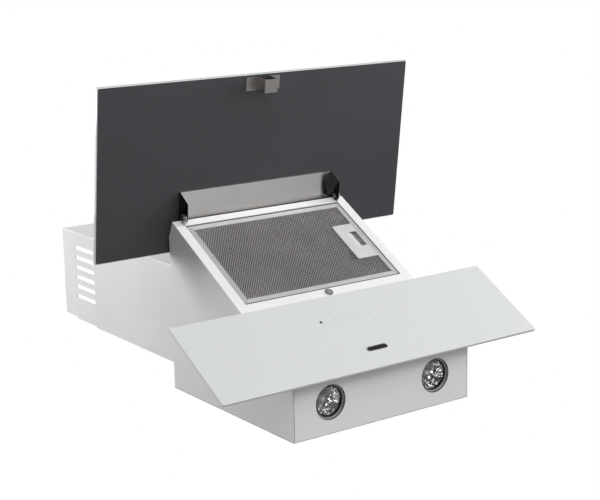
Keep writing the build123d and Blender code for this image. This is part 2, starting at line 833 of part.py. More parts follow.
with BuildPart() as lower_glass:
    with BuildSketch(face.offset(carrier_sheet)):
        block(-glass_width / 2, glass_width / 2, lower_bottom, -lower_top)
        fillet(vertices(), glass_corner)
    extrude(amount=glass_thickness)
    chamfer(lower_glass.faces().filter_by(Axis(face.origin, face.z_dir)).edges(), glass_edge)
keep(lower_glass, "lower_glass")

# Touch strip: a tray against the glass with the circuit board on its shelf
touch_plane = Plane(
    origin=face.from_local_coords(Vector(touch_centre, -touch_drop, carrier_sheet)),
    x_dir=face.x_dir,
    z_dir=face.z_dir,
)
with BuildPart() as touch_housing:
    with BuildSketch(touch_plane):
        RectangleRounded(touch_length, touch_height, touch_corner)
    extrude(amount=-touch_depth)
    with BuildSketch(touch_plane):
        Rectangle(touch_length - 2 * touch_wall, touch_height - 2 * touch_wall)
    extrude(amount=-board_thickness, mode=Mode.SUBTRACT)
    with BuildSketch(touch_plane):
        shelf = touch_wall + touch_shelf
        Rectangle(touch_length - 2 * shelf, touch_height - 2 * shelf)
    extrude(amount=touch_wall - touch_depth, mode=Mode.SUBTRACT)
keep(touch_housing, "touch_housing")

with BuildPart() as touch_board:
    with BuildSketch(touch_plane):
        edge = touch_wall + fit_gap
        Rectangle(touch_length - 2 * edge, touch_height - 2 * edge)
    extrude(amount=-board_thickness)
keep(touch_board, "touch_board")

# Lamps: outlines of radius and height above the lamp face, turned about an upright axis
bezel_outer = bezel_inner + bezel_tube
seal_level = bezel_lip_level + bezel_lip_height
lens_level = seal_level + seal_height
reflector_level = lens_level + lens_thickness
throat_level = reflector_level + reflector_depth
neck_level = throat_level + reflector_neck
neck_outer = reflector_throat + reflector_wall
bezel_outline = (
    (bezel_inner, -bezel_proud),
    (bezel_outer, -bezel_proud),
    (bezel_outer, sheet),
    (bezel_flange, sheet),
    (bezel_flange, sheet + bezel_flange_sheet),
    (bezel_outer, sheet + bezel_flange_sheet),
    (bezel_outer, bezel_height),
    (bezel_inner, bezel_height),
    (bezel_inner, seal_level),
    (bezel_inner - bezel_lip, seal_level),
    (bezel_inner - bezel_lip, bezel_lip_level),
    (bezel_inner, bezel_lip_level),
)
seal_outline = (
    (seal_inner, seal_level),
    (bezel_inner - fit_gap, seal_level),
    (bezel_inner - fit_gap, lens_level),
    (seal_inner, lens_level),
)
lens_outline = (
    (0, lens_level),
    (bezel_inner - lens_gap, lens_level),
    (bezel_inner - lens_gap, reflector_level),
    (0, reflector_level),
)
socket_outline = (
    (0, neck_level),
    (neck_outer + fit_gap, neck_level),
    (neck_outer + fit_gap, neck_level - socket_bore_depth),
    (socket_radius, neck_level - socket_bore_depth),
    (socket_radius, neck_level - socket_bore_depth + socket_height),
    (0, neck_level - socket_bore_depth + socket_height),
)
for side, name in ((-1, "left"), (1, "right")):
    centre = (side * lamp_spacing / 2, -lamp_wall_distance, lamp_z)
    upright = Plane(origin=centre, x_dir=(1, 0, 0), z_dir=(0, -1, 0))
    turning_axis = Axis(centre, (0, 0, 1))
    for outline, kind in (
        (bezel_outline, "lamp_bezel"),
        (seal_outline, "lamp_seal"),
        (lens_outline, "lamp_lens"),
        (socket_outline, "lamp_socket"),
    ):
        with BuildPart() as turned:
            with BuildSketch(upright):
                with BuildLine():
                    Polyline(*outline, close=True)
                make_face()
            revolve(axis=turning_axis)
        keep(turned, f"{kind}_{name}")
    with BuildPart() as lamp_reflector:
        with BuildSketch(upright):
            with BuildLine():
                middle = (reflector_level + throat_level) / 2
                inside = ThreePointArc(
                    (reflector_mouth, reflector_level),
                    (reflector_waist, middle),
                    (reflector_throat, throat_level),
                )
                outside = ThreePointArc(
                    (neck_outer, throat_level),
                    (reflector_waist + reflector_wall, middle),
                    (reflector_mouth + reflector_wall, reflector_level + reflector_wall),
                )
                Polyline(inside @ 1, (reflector_throat, neck_level), (neck_outer, neck_level), outside @ 0)
                Polyline(
                    outside @ 1,
                    (bezel_inner - lens_gap, reflector_level + reflector_wall),
                    (bezel_inner - lens_gap, reflector_level),
                    inside @ 0,
                )
            make_face()
        revolve(axis=turning_axis)
    keep(lamp_reflector, f"lamp_reflector_{name}")

with BuildPart() as lamp_capsules:
    with BuildSketch(Plane.XY.offset(lamp_z + neck_level - capsule_length)):
        with Locations((0, -lamp_wall_distance)):
            with GridLocations(lamp_spacing, 0, 2, 1):
                Circle(capsule_radius)
    extrude(amount=capsule_length)
    fillet(lamp_capsules.edges().group_by(Axis.Z)[0], capsule_radius - fit_gap)
keep(lamp_capsules, "lamp_capsules")

# Fan plane on the wall: x to the right, y up, z into the room, origin on the fan's axis
fan_z = lamp_z + fan_height
fan = Plane(origin=(fan_x, 0, fan_z), x_dir=(1, 0, 0), z_dir=(0, -1, 0))
under_roof = roof_z - sheet
outlet_top = under_roof - fan_z
outlet_left_edge = outlet_left - fan_x
fan_middle = scroll_wall_distance + scroll_depth / 2


def volute(top):
    """Draws the blower's outline: a four-centred volute that opens upwards into its outlet."""
    near = scroll_growth / 2
    with BuildLine() as outline:
        first = CenterArc((-near, near), scroll_radius - scroll_growth, tongue_angle, 90 - tongue_angle)
        CenterArc((-near, -near), scroll_radius, 90, 90)
        CenterArc((near, -near), scroll_radius + scroll_growth, 180, 90)
        last = CenterArc((near, near), scroll_radius + 2 * scroll_growth, 270, 90)
        tongue = first @ 0
        slant = (tongue.X - outlet_left_edge) / (outlet_top - tongue.Y)
        left = outlet_left_edge - slant * (top - outlet_top)
        Polyline(last @ 1, (outlet_right, top), (left, top), tongue)
    make_face(outline.edges())
    fillet(vertices().sort_by_distance(tongue)[0], tongue_round)


def outlet_rim(near, far):
    """Draws the outlet's flange under the roof between two distances from the wall."""
    left = outlet_left - outlet_flange
    right = fan_x + outlet_right + outlet_flange
    block(left, right, -far, -near)
    block(*outlet_edges, mode=Mode.SUBTRACT)


# Scroll housing: its rear wall with an inlet, the volute band and the outlet's flange
with BuildPart() as scroll_housing:
    with BuildSketch(fan.offset(scroll_wall_distance)):
        volute(outlet_top)
    extrude(amount=scroll_depth - scroll_wall)
    with BuildSketch(fan.offset(scroll_wall_distance + scroll_wall)):
        volute(outlet_top + 3 * scroll_wall)
        offset(amount=-scroll_wall)
    extrude(amount=scroll_depth, mode=Mode.SUBTRACT)
    with BuildSketch(Plane.XY.offset(under_roof)):
        outlet_rim(scroll_wall_distance - outlet_flange, scroll_front - scroll_wall)
    extrude(amount=-scroll_wall)
    with BuildSketch(fan.offset(scroll_wall_distance)):
        Circle(inlet_radius)
    extrude(amount=scroll_wall + inlet_lip)
    with BuildSketch(fan.offset(scroll_wall_distance)):
        Circle(inlet_radius - scroll_wall)
    extrude(amount=scroll_wall + inlet_lip, mode=Mode.SUBTRACT)
keep(scroll_housing, "scroll_housing")

# Scroll cover: the front wall with its inlet, the holes for the motor bracket and its part of the flange
with BuildPart() as scroll_cover:
    with BuildSketch(fan.offset(scroll_front - scroll_wall)):
        volute(outlet_top)
    extrude(amount=scroll_wall)
    with BuildSketch(Plane.XY.offset(under_roof)):
        outlet_rim(scroll_front - scroll_wall, scroll_front + outlet_flange)
    extrude(amount=-scroll_wall)
    with BuildSketch(fan.offset(scroll_front)):
        Circle(inlet_radius)
    extrude(amount=-scroll_wall - inlet_lip)
    with BuildSketch(fan.offset(scroll_front)):
        Circle(inlet_radius - scroll_wall)
        with PolarLocations(arm_screw_circle, arm_count, start_angle=90):
            Circle(arm_screw_radius + fit_gap)
    extrude(amount=-scroll_wall - inlet_lip, mode=Mode.SUBTRACT)
keep(scroll_cover, "scroll_cover")

# Impeller: forward-curved blades that stand through slots in a disc, with a ring over their ends
blade_start = fan_middle - impeller_width / 2 + ring_thickness
with BuildSketch(mode=Mode.PRIVATE) as blades:
    with BuildLine():
        middle_radius = (impeller_inner + blade_outer) / 2
        front = ThreePointArc(
            polar(impeller_inner, 0),
            polar(middle_radius, blade_middle_angle),
            polar(blade_outer, blade_tip_angle),
        )
        turn = -degrees(blade_thickness)
        back = ThreePointArc(
            polar(blade_outer, blade_tip_angle + turn / blade_outer),
            polar(middle_radius, blade_middle_angle + turn / middle_radius),
            polar(impeller_inner, turn / impeller_inner),
        )
        Line(front @ 1, back @ 0)
        Line(back @ 1, front @ 0)
    blade = make_face()
    with PolarLocations(0, blade_count, start_angle=360 / blade_count):
        add(blade)

with BuildPart() as impeller_disc:
    with BuildSketch(fan.offset(fan_middle - disc_thickness / 2)):
        Circle(disc_radius)
        add(blades.sketch, mode=Mode.SUBTRACT)
    extrude(amount=disc_thickness)
    with BuildSketch(fan.offset(fan_middle - hub_length / 2)):
        Circle(hub_radius)
    extrude(amount=hub_length)
    with BuildSketch(fan):
        Circle(shaft_radius)
    extrude(amount=scroll_front, mode=Mode.SUBTRACT)
keep(impeller_disc, "impeller_disc")

with BuildPart() as impeller_blades:
    with BuildSketch(fan.offset(blade_start)):
        add(blades.sketch)
    extrude(amount=impeller_width - 2 * ring_thickness)
keep(impeller_blades, "impeller_blades")

with BuildPart() as impeller_rings:
    for start in (blade_start - ring_thickness, blade_start + impeller_width - 2 * ring_thickness):
        with BuildSketch(fan.offset(start)):
            Circle(impeller_radius)
            Circle(ring_inner, mode=Mode.SUBTRACT)
        extrude(amount=ring_thickness)
keep(impeller_rings, "impeller_rings")

# Motor with its shaft, set inside the front half of the impeller
motor_start = fan_middle + hub_length / 2 + motor_hub_gap
motor_end = motor_start + motor_length
bracket_front = scroll_front + arm_thickness
with BuildPart() as motor_shaft:
    with BuildSketch(fan.offset(fan_middle - hub_length / 2 - shaft_stub)):
        Circle(shaft_radius)
    extrude(amount=shaft_stub + hub_length + motor_hub_gap + shaft_sunk)
keep(motor_shaft, "motor_shaft")

with BuildPart() as motor:
    with BuildSketch(fan.offset(motor_start)):
        Circle(motor_radius)
    extrude(amount=motor_length)
    fillet(motor.edges().filter_by(GeomType.CIRCLE), motor_round)
    with BuildSketch(fan.offset(motor_start + (motor_length - motor_waist_length) / 2 - motor_waist_length / 2)):
        Circle(motor_radius)
        Circle(motor_radius - motor_waist, mode=Mode.SUBTRACT)
    extrude(amount=motor_waist_length, mode=Mode.SUBTRACT)
    with BuildSketch(fan.offset(bracket_front)):
        Circle(motor_radius + motor_collar)
    extrude(amount=motor_collar_height)
    with BuildSketch(fan.offset(motor_end)):
        Circle(motor_boss_radius)
    extrude(amount=motor_boss_height)
    with BuildSketch(fan.offset(motor_end)):
        with PolarLocations(vent_radius, vent_count):
            SlotOverall(vent_length, vent_width)
    extrude(amount=-vent_depth, mode=Mode.SUBTRACT)
    with BuildSketch(fan.offset(motor_start)):
        Circle(shaft_radius + shaft_clearance)
    extrude(amount=shaft_sunk + fit_gap, mode=Mode.SUBTRACT)
keep(motor, "motor")

# Motor bracket: a ring with three arms across the front inlet, and its screws
with BuildPart() as motor_bracket:
    with BuildSketch(fan.offset(scroll_front)):
        Circle(motor_radius + arm_ring)
        with PolarLocations((arm_reach + motor_radius) / 2, arm_count, start_angle=90):
            Rectangle(arm_reach - motor_radius, arm_width)
        Circle(motor_radius + arm_ring_gap, mode=Mode.SUBTRACT)
        with PolarLocations(arm_screw_circle, arm_count, start_angle=90):
            Circle(arm_screw_radius + fit_gap, mode=Mode.SUBTRACT)
    extrude(amount=arm_thickness)
keep(motor_bracket, "motor_bracket")

with BuildPart() as motor_screws:
    with BuildSketch(fan.offset(bracket_front)):
        with PolarLocations(arm_screw_circle, arm_count, start_angle=90):
            Circle(arm_screw_head)
    extrude(amount=arm_screw_height)
    with BuildSketch(fan.offset(bracket_front)):
        with PolarLocations(arm_screw_circle, arm_count, start_angle=90):
            Circle(arm_screw_radius)
    extrude(amount=-arm_thickness - scroll_wall - arm_screw_reach)
keep(motor_screws, "motor_screws")

# Duct collar: a square flange on the roof and a round spigot with a ledge and a bar for the flaps
spigot = Plane(origin=(0, -duct_wall_distance, roof_z))
duct_inner = duct_radius - duct_wall
flap_under = flap_level - flap_sheet / 2 - flap_rest_gap
with BuildPart() as duct_collar:
    with BuildSketch(spigot):
        RectangleRounded(collar_flange, collar_flange, collar_corner)
        with GridLocations(screw_square, screw_square, 2, 2):
            Circle(collar_screw_radius + fit_gap, mode=Mode.SUBTRACT)
    extrude(amount=collar_flange_sheet)
    with BuildSketch(spigot):
        Circle(duct_radius)
    extrude(amount=duct_length)
    with BuildSketch(spigot):
        Circle(duct_inner)
    extrude(amount=duct_length, mode=Mode.SUBTRACT)
    with BuildSketch(spigot.offset(flap_under)):
        Circle(duct_radius - duct_wall / 2)
        Circle(duct_inner - flap_ledge, mode=Mode.SUBTRACT)
        Rectangle(2 * duct_radius, 2 * flap_ledge_break, mode=Mode.SUBTRACT)
    extrude(amount=-flap_ledge_height)
    with BuildSketch(spigot.offset(flap_level - flap_bar_height / 2)):
        Rectangle(2 * duct_radius - duct_wall, flap_bar_width)
    extrude(amount=flap_bar_height)
    with BuildSketch(Plane.YZ):
        with Locations((-duct_wall_distance, roof_z + flap_level)):
            with GridLocations(2 * flap_offset, 0, 2, 1):
                Circle(flap_pin + flap_pin_clearance)
    extrude(amount=duct_radius, both=True, mode=Mode.SUBTRACT)
    with BuildSketch(spigot.offset(flap_level - flap_bar_height / 2)):
        Rectangle(2 * duct_inner, flap_bar_width)
    extrude(amount=flap_bar_height)
keep(duct_collar, "duct_collar")

with BuildPart() as collar_screws:
    with BuildSketch(spigot.offset(collar_flange_sheet)):
        with GridLocations(screw_square, screw_square, 2, 2):
            Circle(collar_screw_head)
    extrude(amount=collar_screw_height)
    with BuildSketch(spigot.offset(collar_flange_sheet)):
        with GridLocations(screw_square, screw_square, 2, 2):
            Circle(collar_screw_radius)
    extrude(amount=-collar_flange_sheet - sheet - collar_screw_reach)
keep(collar_screws, "collar_screws")

# Non-return flaps: half discs on pins that run across the spigot
flap_radius = duct_inner - flap_edge_gap
pin_half = duct_radius - flap_pin_end
for side, name in ((-1, "flap_front"), (1, "flap_rear")):
    with BuildPart() as flap:
        with BuildSketch(spigot.offset(flap_level - flap_sheet / 2)):
            Circle(flap_radius)
            with Locations((0, side * (flap_offset - flap_radius))):
                Rectangle(2 * duct_radius, 2 * flap_radius, mode=Mode.SUBTRACT)
        extrude(amount=flap_sheet)
        with BuildSketch(Plane.YZ):
            with Locations((-duct_wall_distance + side * flap_offset, roof_z + flap_level)):
                Circle(flap_barrel)
        extrude(amount=duct_inner - flap_end_gap, both=True)
        with BuildSketch(Plane.YZ):
            with Locations((-duct_wall_distance + side * flap_offset, roof_z + flap_level)):
                Circle(flap_pin)
        extrude(amount=pin_half, both=True)
    keep(flap, name)

# Cable gland in the roof and its nut
gland = Plane(origin=(gland_x, -gland_wall_distance, roof_z))
with BuildPart() as cable_gland:
    with BuildSketch(gland):
        RegularPolygon(gland_radius, 6)
    extrude(amount=gland_shoulder)
    with BuildSketch(gland.offset(gland_shoulder)):
        Circle(gland_top_radius)
    extrude(amount=gland_height - gland_shoulder, taper=screw_taper / 2)
    with BuildSketch(gland):
        Circle(gland_thread)
    extrude(amount=-gland_reach)
    with BuildSketch(gland.offset(-gland_reach)):
        Circle(gland_bore)
    extrude(amount=gland_reach + gland_height, mode=Mode.SUBTRACT)
keep(cable_gland, "cable_gland")

with BuildPart() as gland_nut:
    with BuildSketch(gland.offset(-sheet)):
        RegularPolygon(gland_nut_across / 2, 6, major_radius=False)
        Circle(gland_thread, mode=Mode.SUBTRACT)
    extrude(amount=-gland_nut_height)
keep(gland_nut, "gland_nut")


def channel(side_inset, wall_inset):
    """Draws a chimney section: front and side walls with two flanges turned in along the wall."""
    half = chimney_width / 2 - side_inset
    front = side_inset - chimney_depth
    block(-half, half, front, -wall_inset)
    block(-half + sheet, half - sheet, front + sheet, -wall_inset - sheet, mode=Mode.SUBTRACT)
    gap = half - chimney_flange
    block(-gap, gap, -wall_inset - sheet, -wall_inset, mode=Mode.SUBTRACT)


# Chimney: a plain outer section and a slotted inner one that slides in it
inner_top = roof_z + outer_length + inner_rise
inner_inset = sheet + telescope_gap
with BuildPart() as chimney_outer:
    with BuildSketch(Plane.XY.offset(roof_z)):
        channel(0, 0)
    extrude(amount=outer_length)
    front_edges = chimney_outer.edges().filter_by(Axis.Z).group_by(Axis.Y)[0]
    fillet(front_edges, bend_radius)
keep(chimney_outer, "chimney_outer")

with BuildPart() as chimney_inner:
    with BuildSketch(Plane.XY.offset(inner_top)):
        channel(inner_inset, inner_inset)
    extrude(amount=-inner_length)
    front_edges = chimney_inner.edges().filter_by(Axis.Z).group_by(Axis.Y)[0]
    fillet(front_edges, bend_radius)
    with BuildSketch(Plane.YZ):
        with Locations((-slot_middle_distance, inner_top - slot_top_margin - slot_length / 2)):
            with GridLocations(slot_pitch, 0, slot_count, 1):
                SlotOverall(slot_length, slot_width, rotation=90)
        with Locations((-wall_screw_distance, inner_top - wall_screw_drop)):
            Circle(wall_screw_radius)
    extrude(amount=chimney_width / 2, both=True, mode=Mode.SUBTRACT)
    with BuildSketch(Plane.XY.offset(inner_top)):
        block(-chimney_width / 2, chimney_width / 2, -inner_inset - relief_depth, 0)
    extrude(amount=-relief_length, mode=Mode.SUBTRACT)
keep(chimney_inner, "chimney_inner")

# Angle tabs on the roof that locate the outer chimney
with BuildPart() as chimney_tabs:
    for side in (-1, 1):
        wall = side * (chimney_width / 2 - sheet)
        inner = wall - side * tab_foot
        riser = wall - side * tab_sheet
        with BuildSketch(Plane.XZ.offset(duct_wall_distance - tab_length / 2)):
            block(min(wall, inner), max(wall, inner), roof_z, roof_z + tab_sheet)
            block(min(wall, riser), max(wall, riser), roof_z, roof_z + tab_height)
        extrude(amount=tab_length)
keep(chimney_tabs, "chimney_tabs")

# Control box and its lid, on the back plate between the lamps
box_low = lamp_z + box_floor_height
box_middle = (0, box_low + box_height / 2)
with BuildPart() as control_box:
    with BuildSketch(Plane.XZ.offset(sheet)):
        with Locations(box_middle):
            RectangleRounded(box_width, box_height, box_corner)
    extrude(amount=box_depth)
    with BuildSketch(Plane.XZ.offset(sheet + box_wall)):
        with Locations(box_middle):
            Rectangle(box_width - 2 * box_wall, box_height - 2 * box_wall)
    extrude(amount=box_depth, mode=Mode.SUBTRACT)
keep(control_box, "control_box")

with BuildPart() as control_lid:
    with BuildSketch(Plane.XZ.offset(sheet + box_depth)):
        with Locations(box_middle):
            RectangleRounded(box_width, box_height, box_corner)
    extrude(amount=box_wall)
    with BuildSketch(Plane.XZ.offset(sheet + box_depth)):
        with Locations(box_middle):
            lip_edge = 2 * (box_wall + fit_gap)
            Rectangle(box_width - lip_edge, box_height - lip_edge)
            Rectangle(box_width - lip_edge - 2 * box_wall, box_height - lip_edge - 2 * box_wall, mode=Mode.SUBTRACT)
    extrude(amount=-box_lid_lip)
keep(control_lid, "control_lid")

# Motor capacitor and the clip that holds it to the back plate
capacitor_depth = sheet + clip_sheet + clip_gap + capacitor_radius
capacitor_base = Plane(origin=(capacitor_x, -capacitor_depth, lamp_z + capacitor_height))
with BuildPart() as capacitor:
    with BuildSketch(capacitor_base):
        Circle(capacitor_radius)
    extrude(amount=capacitor_length)
    fillet(capacitor.edges().filter_by(GeomType.CIRCLE), capacitor_round)
keep(capacitor, "capacitor")

with BuildPart() as capacitor_clip:
    with BuildSketch(capacitor_base.offset((capacitor_length - clip_height) / 2)):
        Circle(capacitor_radius + clip_gap + clip_sheet)
        with Locations((0, capacitor_depth - sheet - clip_sheet / 2)):
            Rectangle(clip_foot, clip_sheet)
        Circle(capacitor_radius + clip_gap, mode=Mode.SUBTRACT)
    extrude(amount=clip_height)
keep(capacitor_clip, "capacitor_clip")

os.makedirs("parts", exist_ok=True)
for piece in pieces:
    export_step(piece, f"parts/{piece.label}.step")
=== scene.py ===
"""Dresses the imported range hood.

Every solid gets a finish, and the finer pieces that the solids leave plain are modelled here.
Metres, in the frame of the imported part: +X right as seen from the room, +Z up, the wall at
Y = 0, the room at -Y.
"""

import json
import logging
from collections.abc import Callable
from dataclasses import dataclass, field
from enum import Enum
from math import atan2, cos, sin

import bmesh
import bpy
from mathutils import Matrix, Quaternion, Vector

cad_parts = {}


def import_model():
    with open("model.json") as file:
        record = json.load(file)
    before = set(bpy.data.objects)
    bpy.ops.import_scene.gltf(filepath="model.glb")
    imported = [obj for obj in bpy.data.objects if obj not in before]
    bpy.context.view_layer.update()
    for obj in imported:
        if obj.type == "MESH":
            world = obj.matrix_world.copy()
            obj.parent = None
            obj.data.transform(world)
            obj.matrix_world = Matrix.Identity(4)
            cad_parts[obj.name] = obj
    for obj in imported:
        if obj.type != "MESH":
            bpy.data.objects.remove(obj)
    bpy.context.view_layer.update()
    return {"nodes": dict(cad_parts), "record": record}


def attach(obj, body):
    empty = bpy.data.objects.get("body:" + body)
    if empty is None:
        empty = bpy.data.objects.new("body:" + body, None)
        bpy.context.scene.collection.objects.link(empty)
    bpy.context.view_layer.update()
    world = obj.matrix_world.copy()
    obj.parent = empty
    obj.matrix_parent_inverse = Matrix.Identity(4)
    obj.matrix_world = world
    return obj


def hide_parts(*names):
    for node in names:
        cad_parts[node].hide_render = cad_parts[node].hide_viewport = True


log = logging.getLogger("hood")

Socket = bpy.types.NodeSocket

MM = 0.001
RIGHT = Vector((1.0, 0.0, 0.0))

# The front frame's face leans towards the room, 182 mm out over 320 mm of height, up to the nose.
LEAN = atan2(182.0, 320.0)
UP_SLOPE = Vector((0.0, -sin(LEAN), cos(LEAN)))
OUTWARD = Vector((0.0, -cos(LEAN), -sin(LEAN)))
NOSE = Vector((0.0, -276.0, 25.0)) * MM

# Height of the lower glass's room side over the front frame's face.
GLASS_TOP = 6.2 * MM

LAMP_X = 100.7 * MM
LAMP_WALL_DISTANCE = 48.8 * MM
LAMP_FACE = -295.0 * MM

WHITE = (0.805, 0.80, 0.79)


def plane_matrix(origin: Vector, up: Vector, outward: Vector) -> Matrix:
    """Frame of a tilted sheet: x to the right, y along up, z along outward.

    Args:
        origin: point that becomes the frame's origin, in metres.
        up: unit vector of the frame's y axis.
        outward: unit vector of the frame's z axis.

    Returns:
        The frame as a 4 by 4 matrix.
    """
    across = up.cross(outward)
    rows = [(across[i], up[i], outward[i], origin[i]) for i in range(3)]
    return Matrix((*rows, (0.0, 0.0, 0.0, 1.0)))


FACE = plane_matrix(NOSE, UP_SLOPE, OUTWARD)


def shade(colour: tuple, factor: float) -> tuple:
    """A colour made lighter or darker by a factor."""
    return tuple(min(1.0, part * factor) for part in colour)


class Grain(Enum):
    """Direction in which a metal was brushed or rolled, as a stretch of its pattern."""

    ACROSS = (1.0, 60.0, 60.0)
    EVEN = (1.0, 1.0, 1.0)


class Recipe:
    """Node tree of one material, with short calls for the nodes that the finishes share.

    FACTOR, FIRST, SECOND and RESULT are the sockets of a Mix node that mixes colours.
    NOISE_MIDDLE is the range in which most of a noise lies.
    """

    FACTOR, FIRST, SECOND, RESULT = 0, 6, 7, 2
    NOISE_MIDDLE = (0.3, 0.7)

    def __init__(self, name: str, colour: tuple, roughness: float, **sockets: float) -> None:
        """Starts a material.

        Args:
            name: the material's name.
            colour: linear base colour, three numbers.
            roughness: the shader's roughness.
            **sockets: other sockets of the shader, with underscores for spaces.
        """
        self.material = bpy.data.materials.new(name)
        self.material.use_nodes = True
        self.nodes = self.material.node_tree.nodes
        self.links = self.material.node_tree.links
        self.shader = self.nodes["Principled BSDF"]
        self.shader.inputs["Base Color"].default_value = (*colour, 1.0)
        self.shader.inputs["Roughness"].default_value = roughness
        for socket, value in sockets.items():
            self.shader.inputs[socket.replace("_", " ")].default_value = value

    def add(self, kind: str, **settings: object) -> bpy.types.Node:
        """Adds a node.

        Args:
            kind: the node's type without its ShaderNode prefix.
            **settings: properties of the node, and input sockets where no property has that name.

        Returns:
            The new node.
        """
        node = self.nodes.new("ShaderNode" + kind)
        for key, value in settings.items():
            if hasattr(node, key):
                setattr(node, key, value)
            else:
                node.inputs[key.replace("_", " ")].default_value = value
        return node

    def join(self, source: Socket, node: bpy.types.Node, socket: str | int) -> None:
        """Links an output to an input of a node, given by name or number."""
        self.links.new(source, node.inputs[socket])

    def place(self, scale: tuple = (1.0, 1.0, 1.0)) -> Socket:
        """Object coordinates, stretched.

        Args:
            scale: factor along each axis.

        Returns:
            The stretched coordinates.
        """
        coords = self.add("TexCoord")
        mapping = self.add("Mapping")
        mapping.inputs["Scale"].default_value = scale
        self.join(coords.outputs["Object"], mapping, "Vector")
        return mapping.outputs["Vector"]

    def noise(self, size: float, detail: float = 3.0, scale: tuple = (1.0, 1.0, 1.0)) -> Socket:
        """Noise whose blotches are about size metres across.

        Args:
            size: width of a blotch, in metres.
            detail: octaves of finer noise.
            scale: stretch of the coordinates.

        Returns:
            The noise, from 0 to 1.
        """
        node = self.add("TexNoise", Scale=1.0 / size, Detail=detail)
        self.join(self.place(scale), node, "Vector")
        return node.outputs["Fac"]

    def spread(self, value: Socket, low: float, high: float) -> Socket:
        """Maps the middle of a noise to a range.

        Args:
            value: the noise.
            low: what a low value becomes.
            high: what a high value becomes.

        Returns:
            The mapped number.
        """
        node = self.add("MapRange")
        self.join(value, node, "Value")
        limits = (*self.NOISE_MIDDLE, low, high)
        for socket, number in zip(("From Min", "From Max", "To Min", "To Max"), limits):
            node.inputs[socket].default_value = number
        return node.outputs["Result"]

    def ramp(self, value: Socket, start: float, end: float) -> Socket:
        """Maps a range of a number to 0 to 1.

        Args:
            value: the number.
            start: where the result is 0.
            end: where the result is 1.

        Returns:
            The mapped number, held between 0 and 1.
        """
        node = self.add("MapRange")
        self.join(value, node, "Value")
        node.inputs["From Min"].default_value = start
        node.inputs["From Max"].default_value = end
        return node.outputs["Result"]

    def mix(
        self, factor: Socket, first: Socket | tuple, second: tuple, blend: str = "MIX"
    ) -> Socket:
        """Lays a plain colour over another colour.

        Args:
            factor: 0 to keep the first colour, 1 for the full effect of the second.
            first: an output, or a linear colour of three numbers.
            second: linear colour, three numbers.
            blend: how the second colour acts on the first.

        Returns:
            The mixed colour.
        """
        node = self.add("Mix", data_type="RGBA", blend_type=blend)
        self.join(factor, node, self.FACTOR)
        if isinstance(first, Socket):
            self.join(first, node, self.FIRST)
        else:
            node.inputs[self.FIRST].default_value = (*first, 1.0)
        node.inputs[self.SECOND].default_value = (*second, 1.0)
        return node.outputs[self.RESULT]

    def fade(self, factor: Socket, under: Socket, dark: float) -> Socket:
        """Darkens a colour where a factor is 1, and leaves a share of it."""
        return self.mix(factor, under, (dark, dark, dark), "MULTIPLY")

    def vary(self, value: Socket, colour: tuple, low: float, high: float) -> Socket:
        """A colour that a noise shades between two factors."""
        return self.mix(self.spread(value, 0.0, 1.0), shade(colour, low), shade(colour, high))

    def math(self, kind: str, first: Socket | float, second: Socket | float = 0.0) -> Socket:
        """One step of arithmetic.

        Args:
            kind: the Math node's operation.
            first: an output or a number.
            second: an output or a number.

        Returns:
            The result.
        """
        node = self.add("Math", operation=kind)
        for index, value in enumerate((first, second)):
            if isinstance(value, Socket):
                self.join(value, node, index)
            else:
                node.inputs[index].default_value = value
        return node.outputs[0]

    def along(self, direction: Vector, origin: Vector) -> Socket:
        """Distance of a point from an origin, measured along a direction.

        Args:
            direction: unit vector.
            origin: point where the distance is 0.

        Returns:
            The distance in metres.
        """
        coords = self.add("TexCoord")
        node = self.add("VectorMath", operation="DOT_PRODUCT")
        self.join(coords.outputs["Object"], node, 0)
        node.inputs[1].default_value = direction
        return self.math("SUBTRACT", node.outputs["Value"], direction.dot(origin))

    def across(self) -> Socket:
        """Distance to the right of the hood's middle, in metres."""
        return self.along(RIGHT, Vector())

    def radius(self, up: Vector, centre: Vector) -> Socket:
        """Distance from a centre in the plane of X and up, the same on the hood's left and right.

        Args:
            up: unit vector of the plane's second direction.
            centre: the right-hand centre.

        Returns:
            The distance in metres.
        """
        run = self.math("SUBTRACT", self.math("ABSOLUTE", self.across()), centre.x)
        rise = self.along(up, centre)
        squares = (self.math("MULTIPLY", run, run), self.math("MULTIPLY", rise, rise))
        return self.math("SQRT", self.math("ADD", *squares))

    def colour(self, value: Socket) -> None:
        """Drives the base colour."""
        self.join(value, self.shader, "Base Color")

    def rough(self, value: Socket, low: float, high: float) -> None:
        """Drives the roughness by a noise, from low to high."""
        self.join(self.spread(value, low, high), self.shader, "Roughness")

    def bump(self, height: Socket, depth: float, strength: float = 1.0) -> None:
        """Raises the surface by a height map.

        Args:
            height: the map, from 0 to 1.
            depth: height in metres of a value of 1.
            strength: share of the effect.
        """
        node = self.add("Bump", Strength=strength, Distance=depth)
        self.join(height, node, "Height")
        self.join(node.outputs["Normal"], self.shader, "Normal")


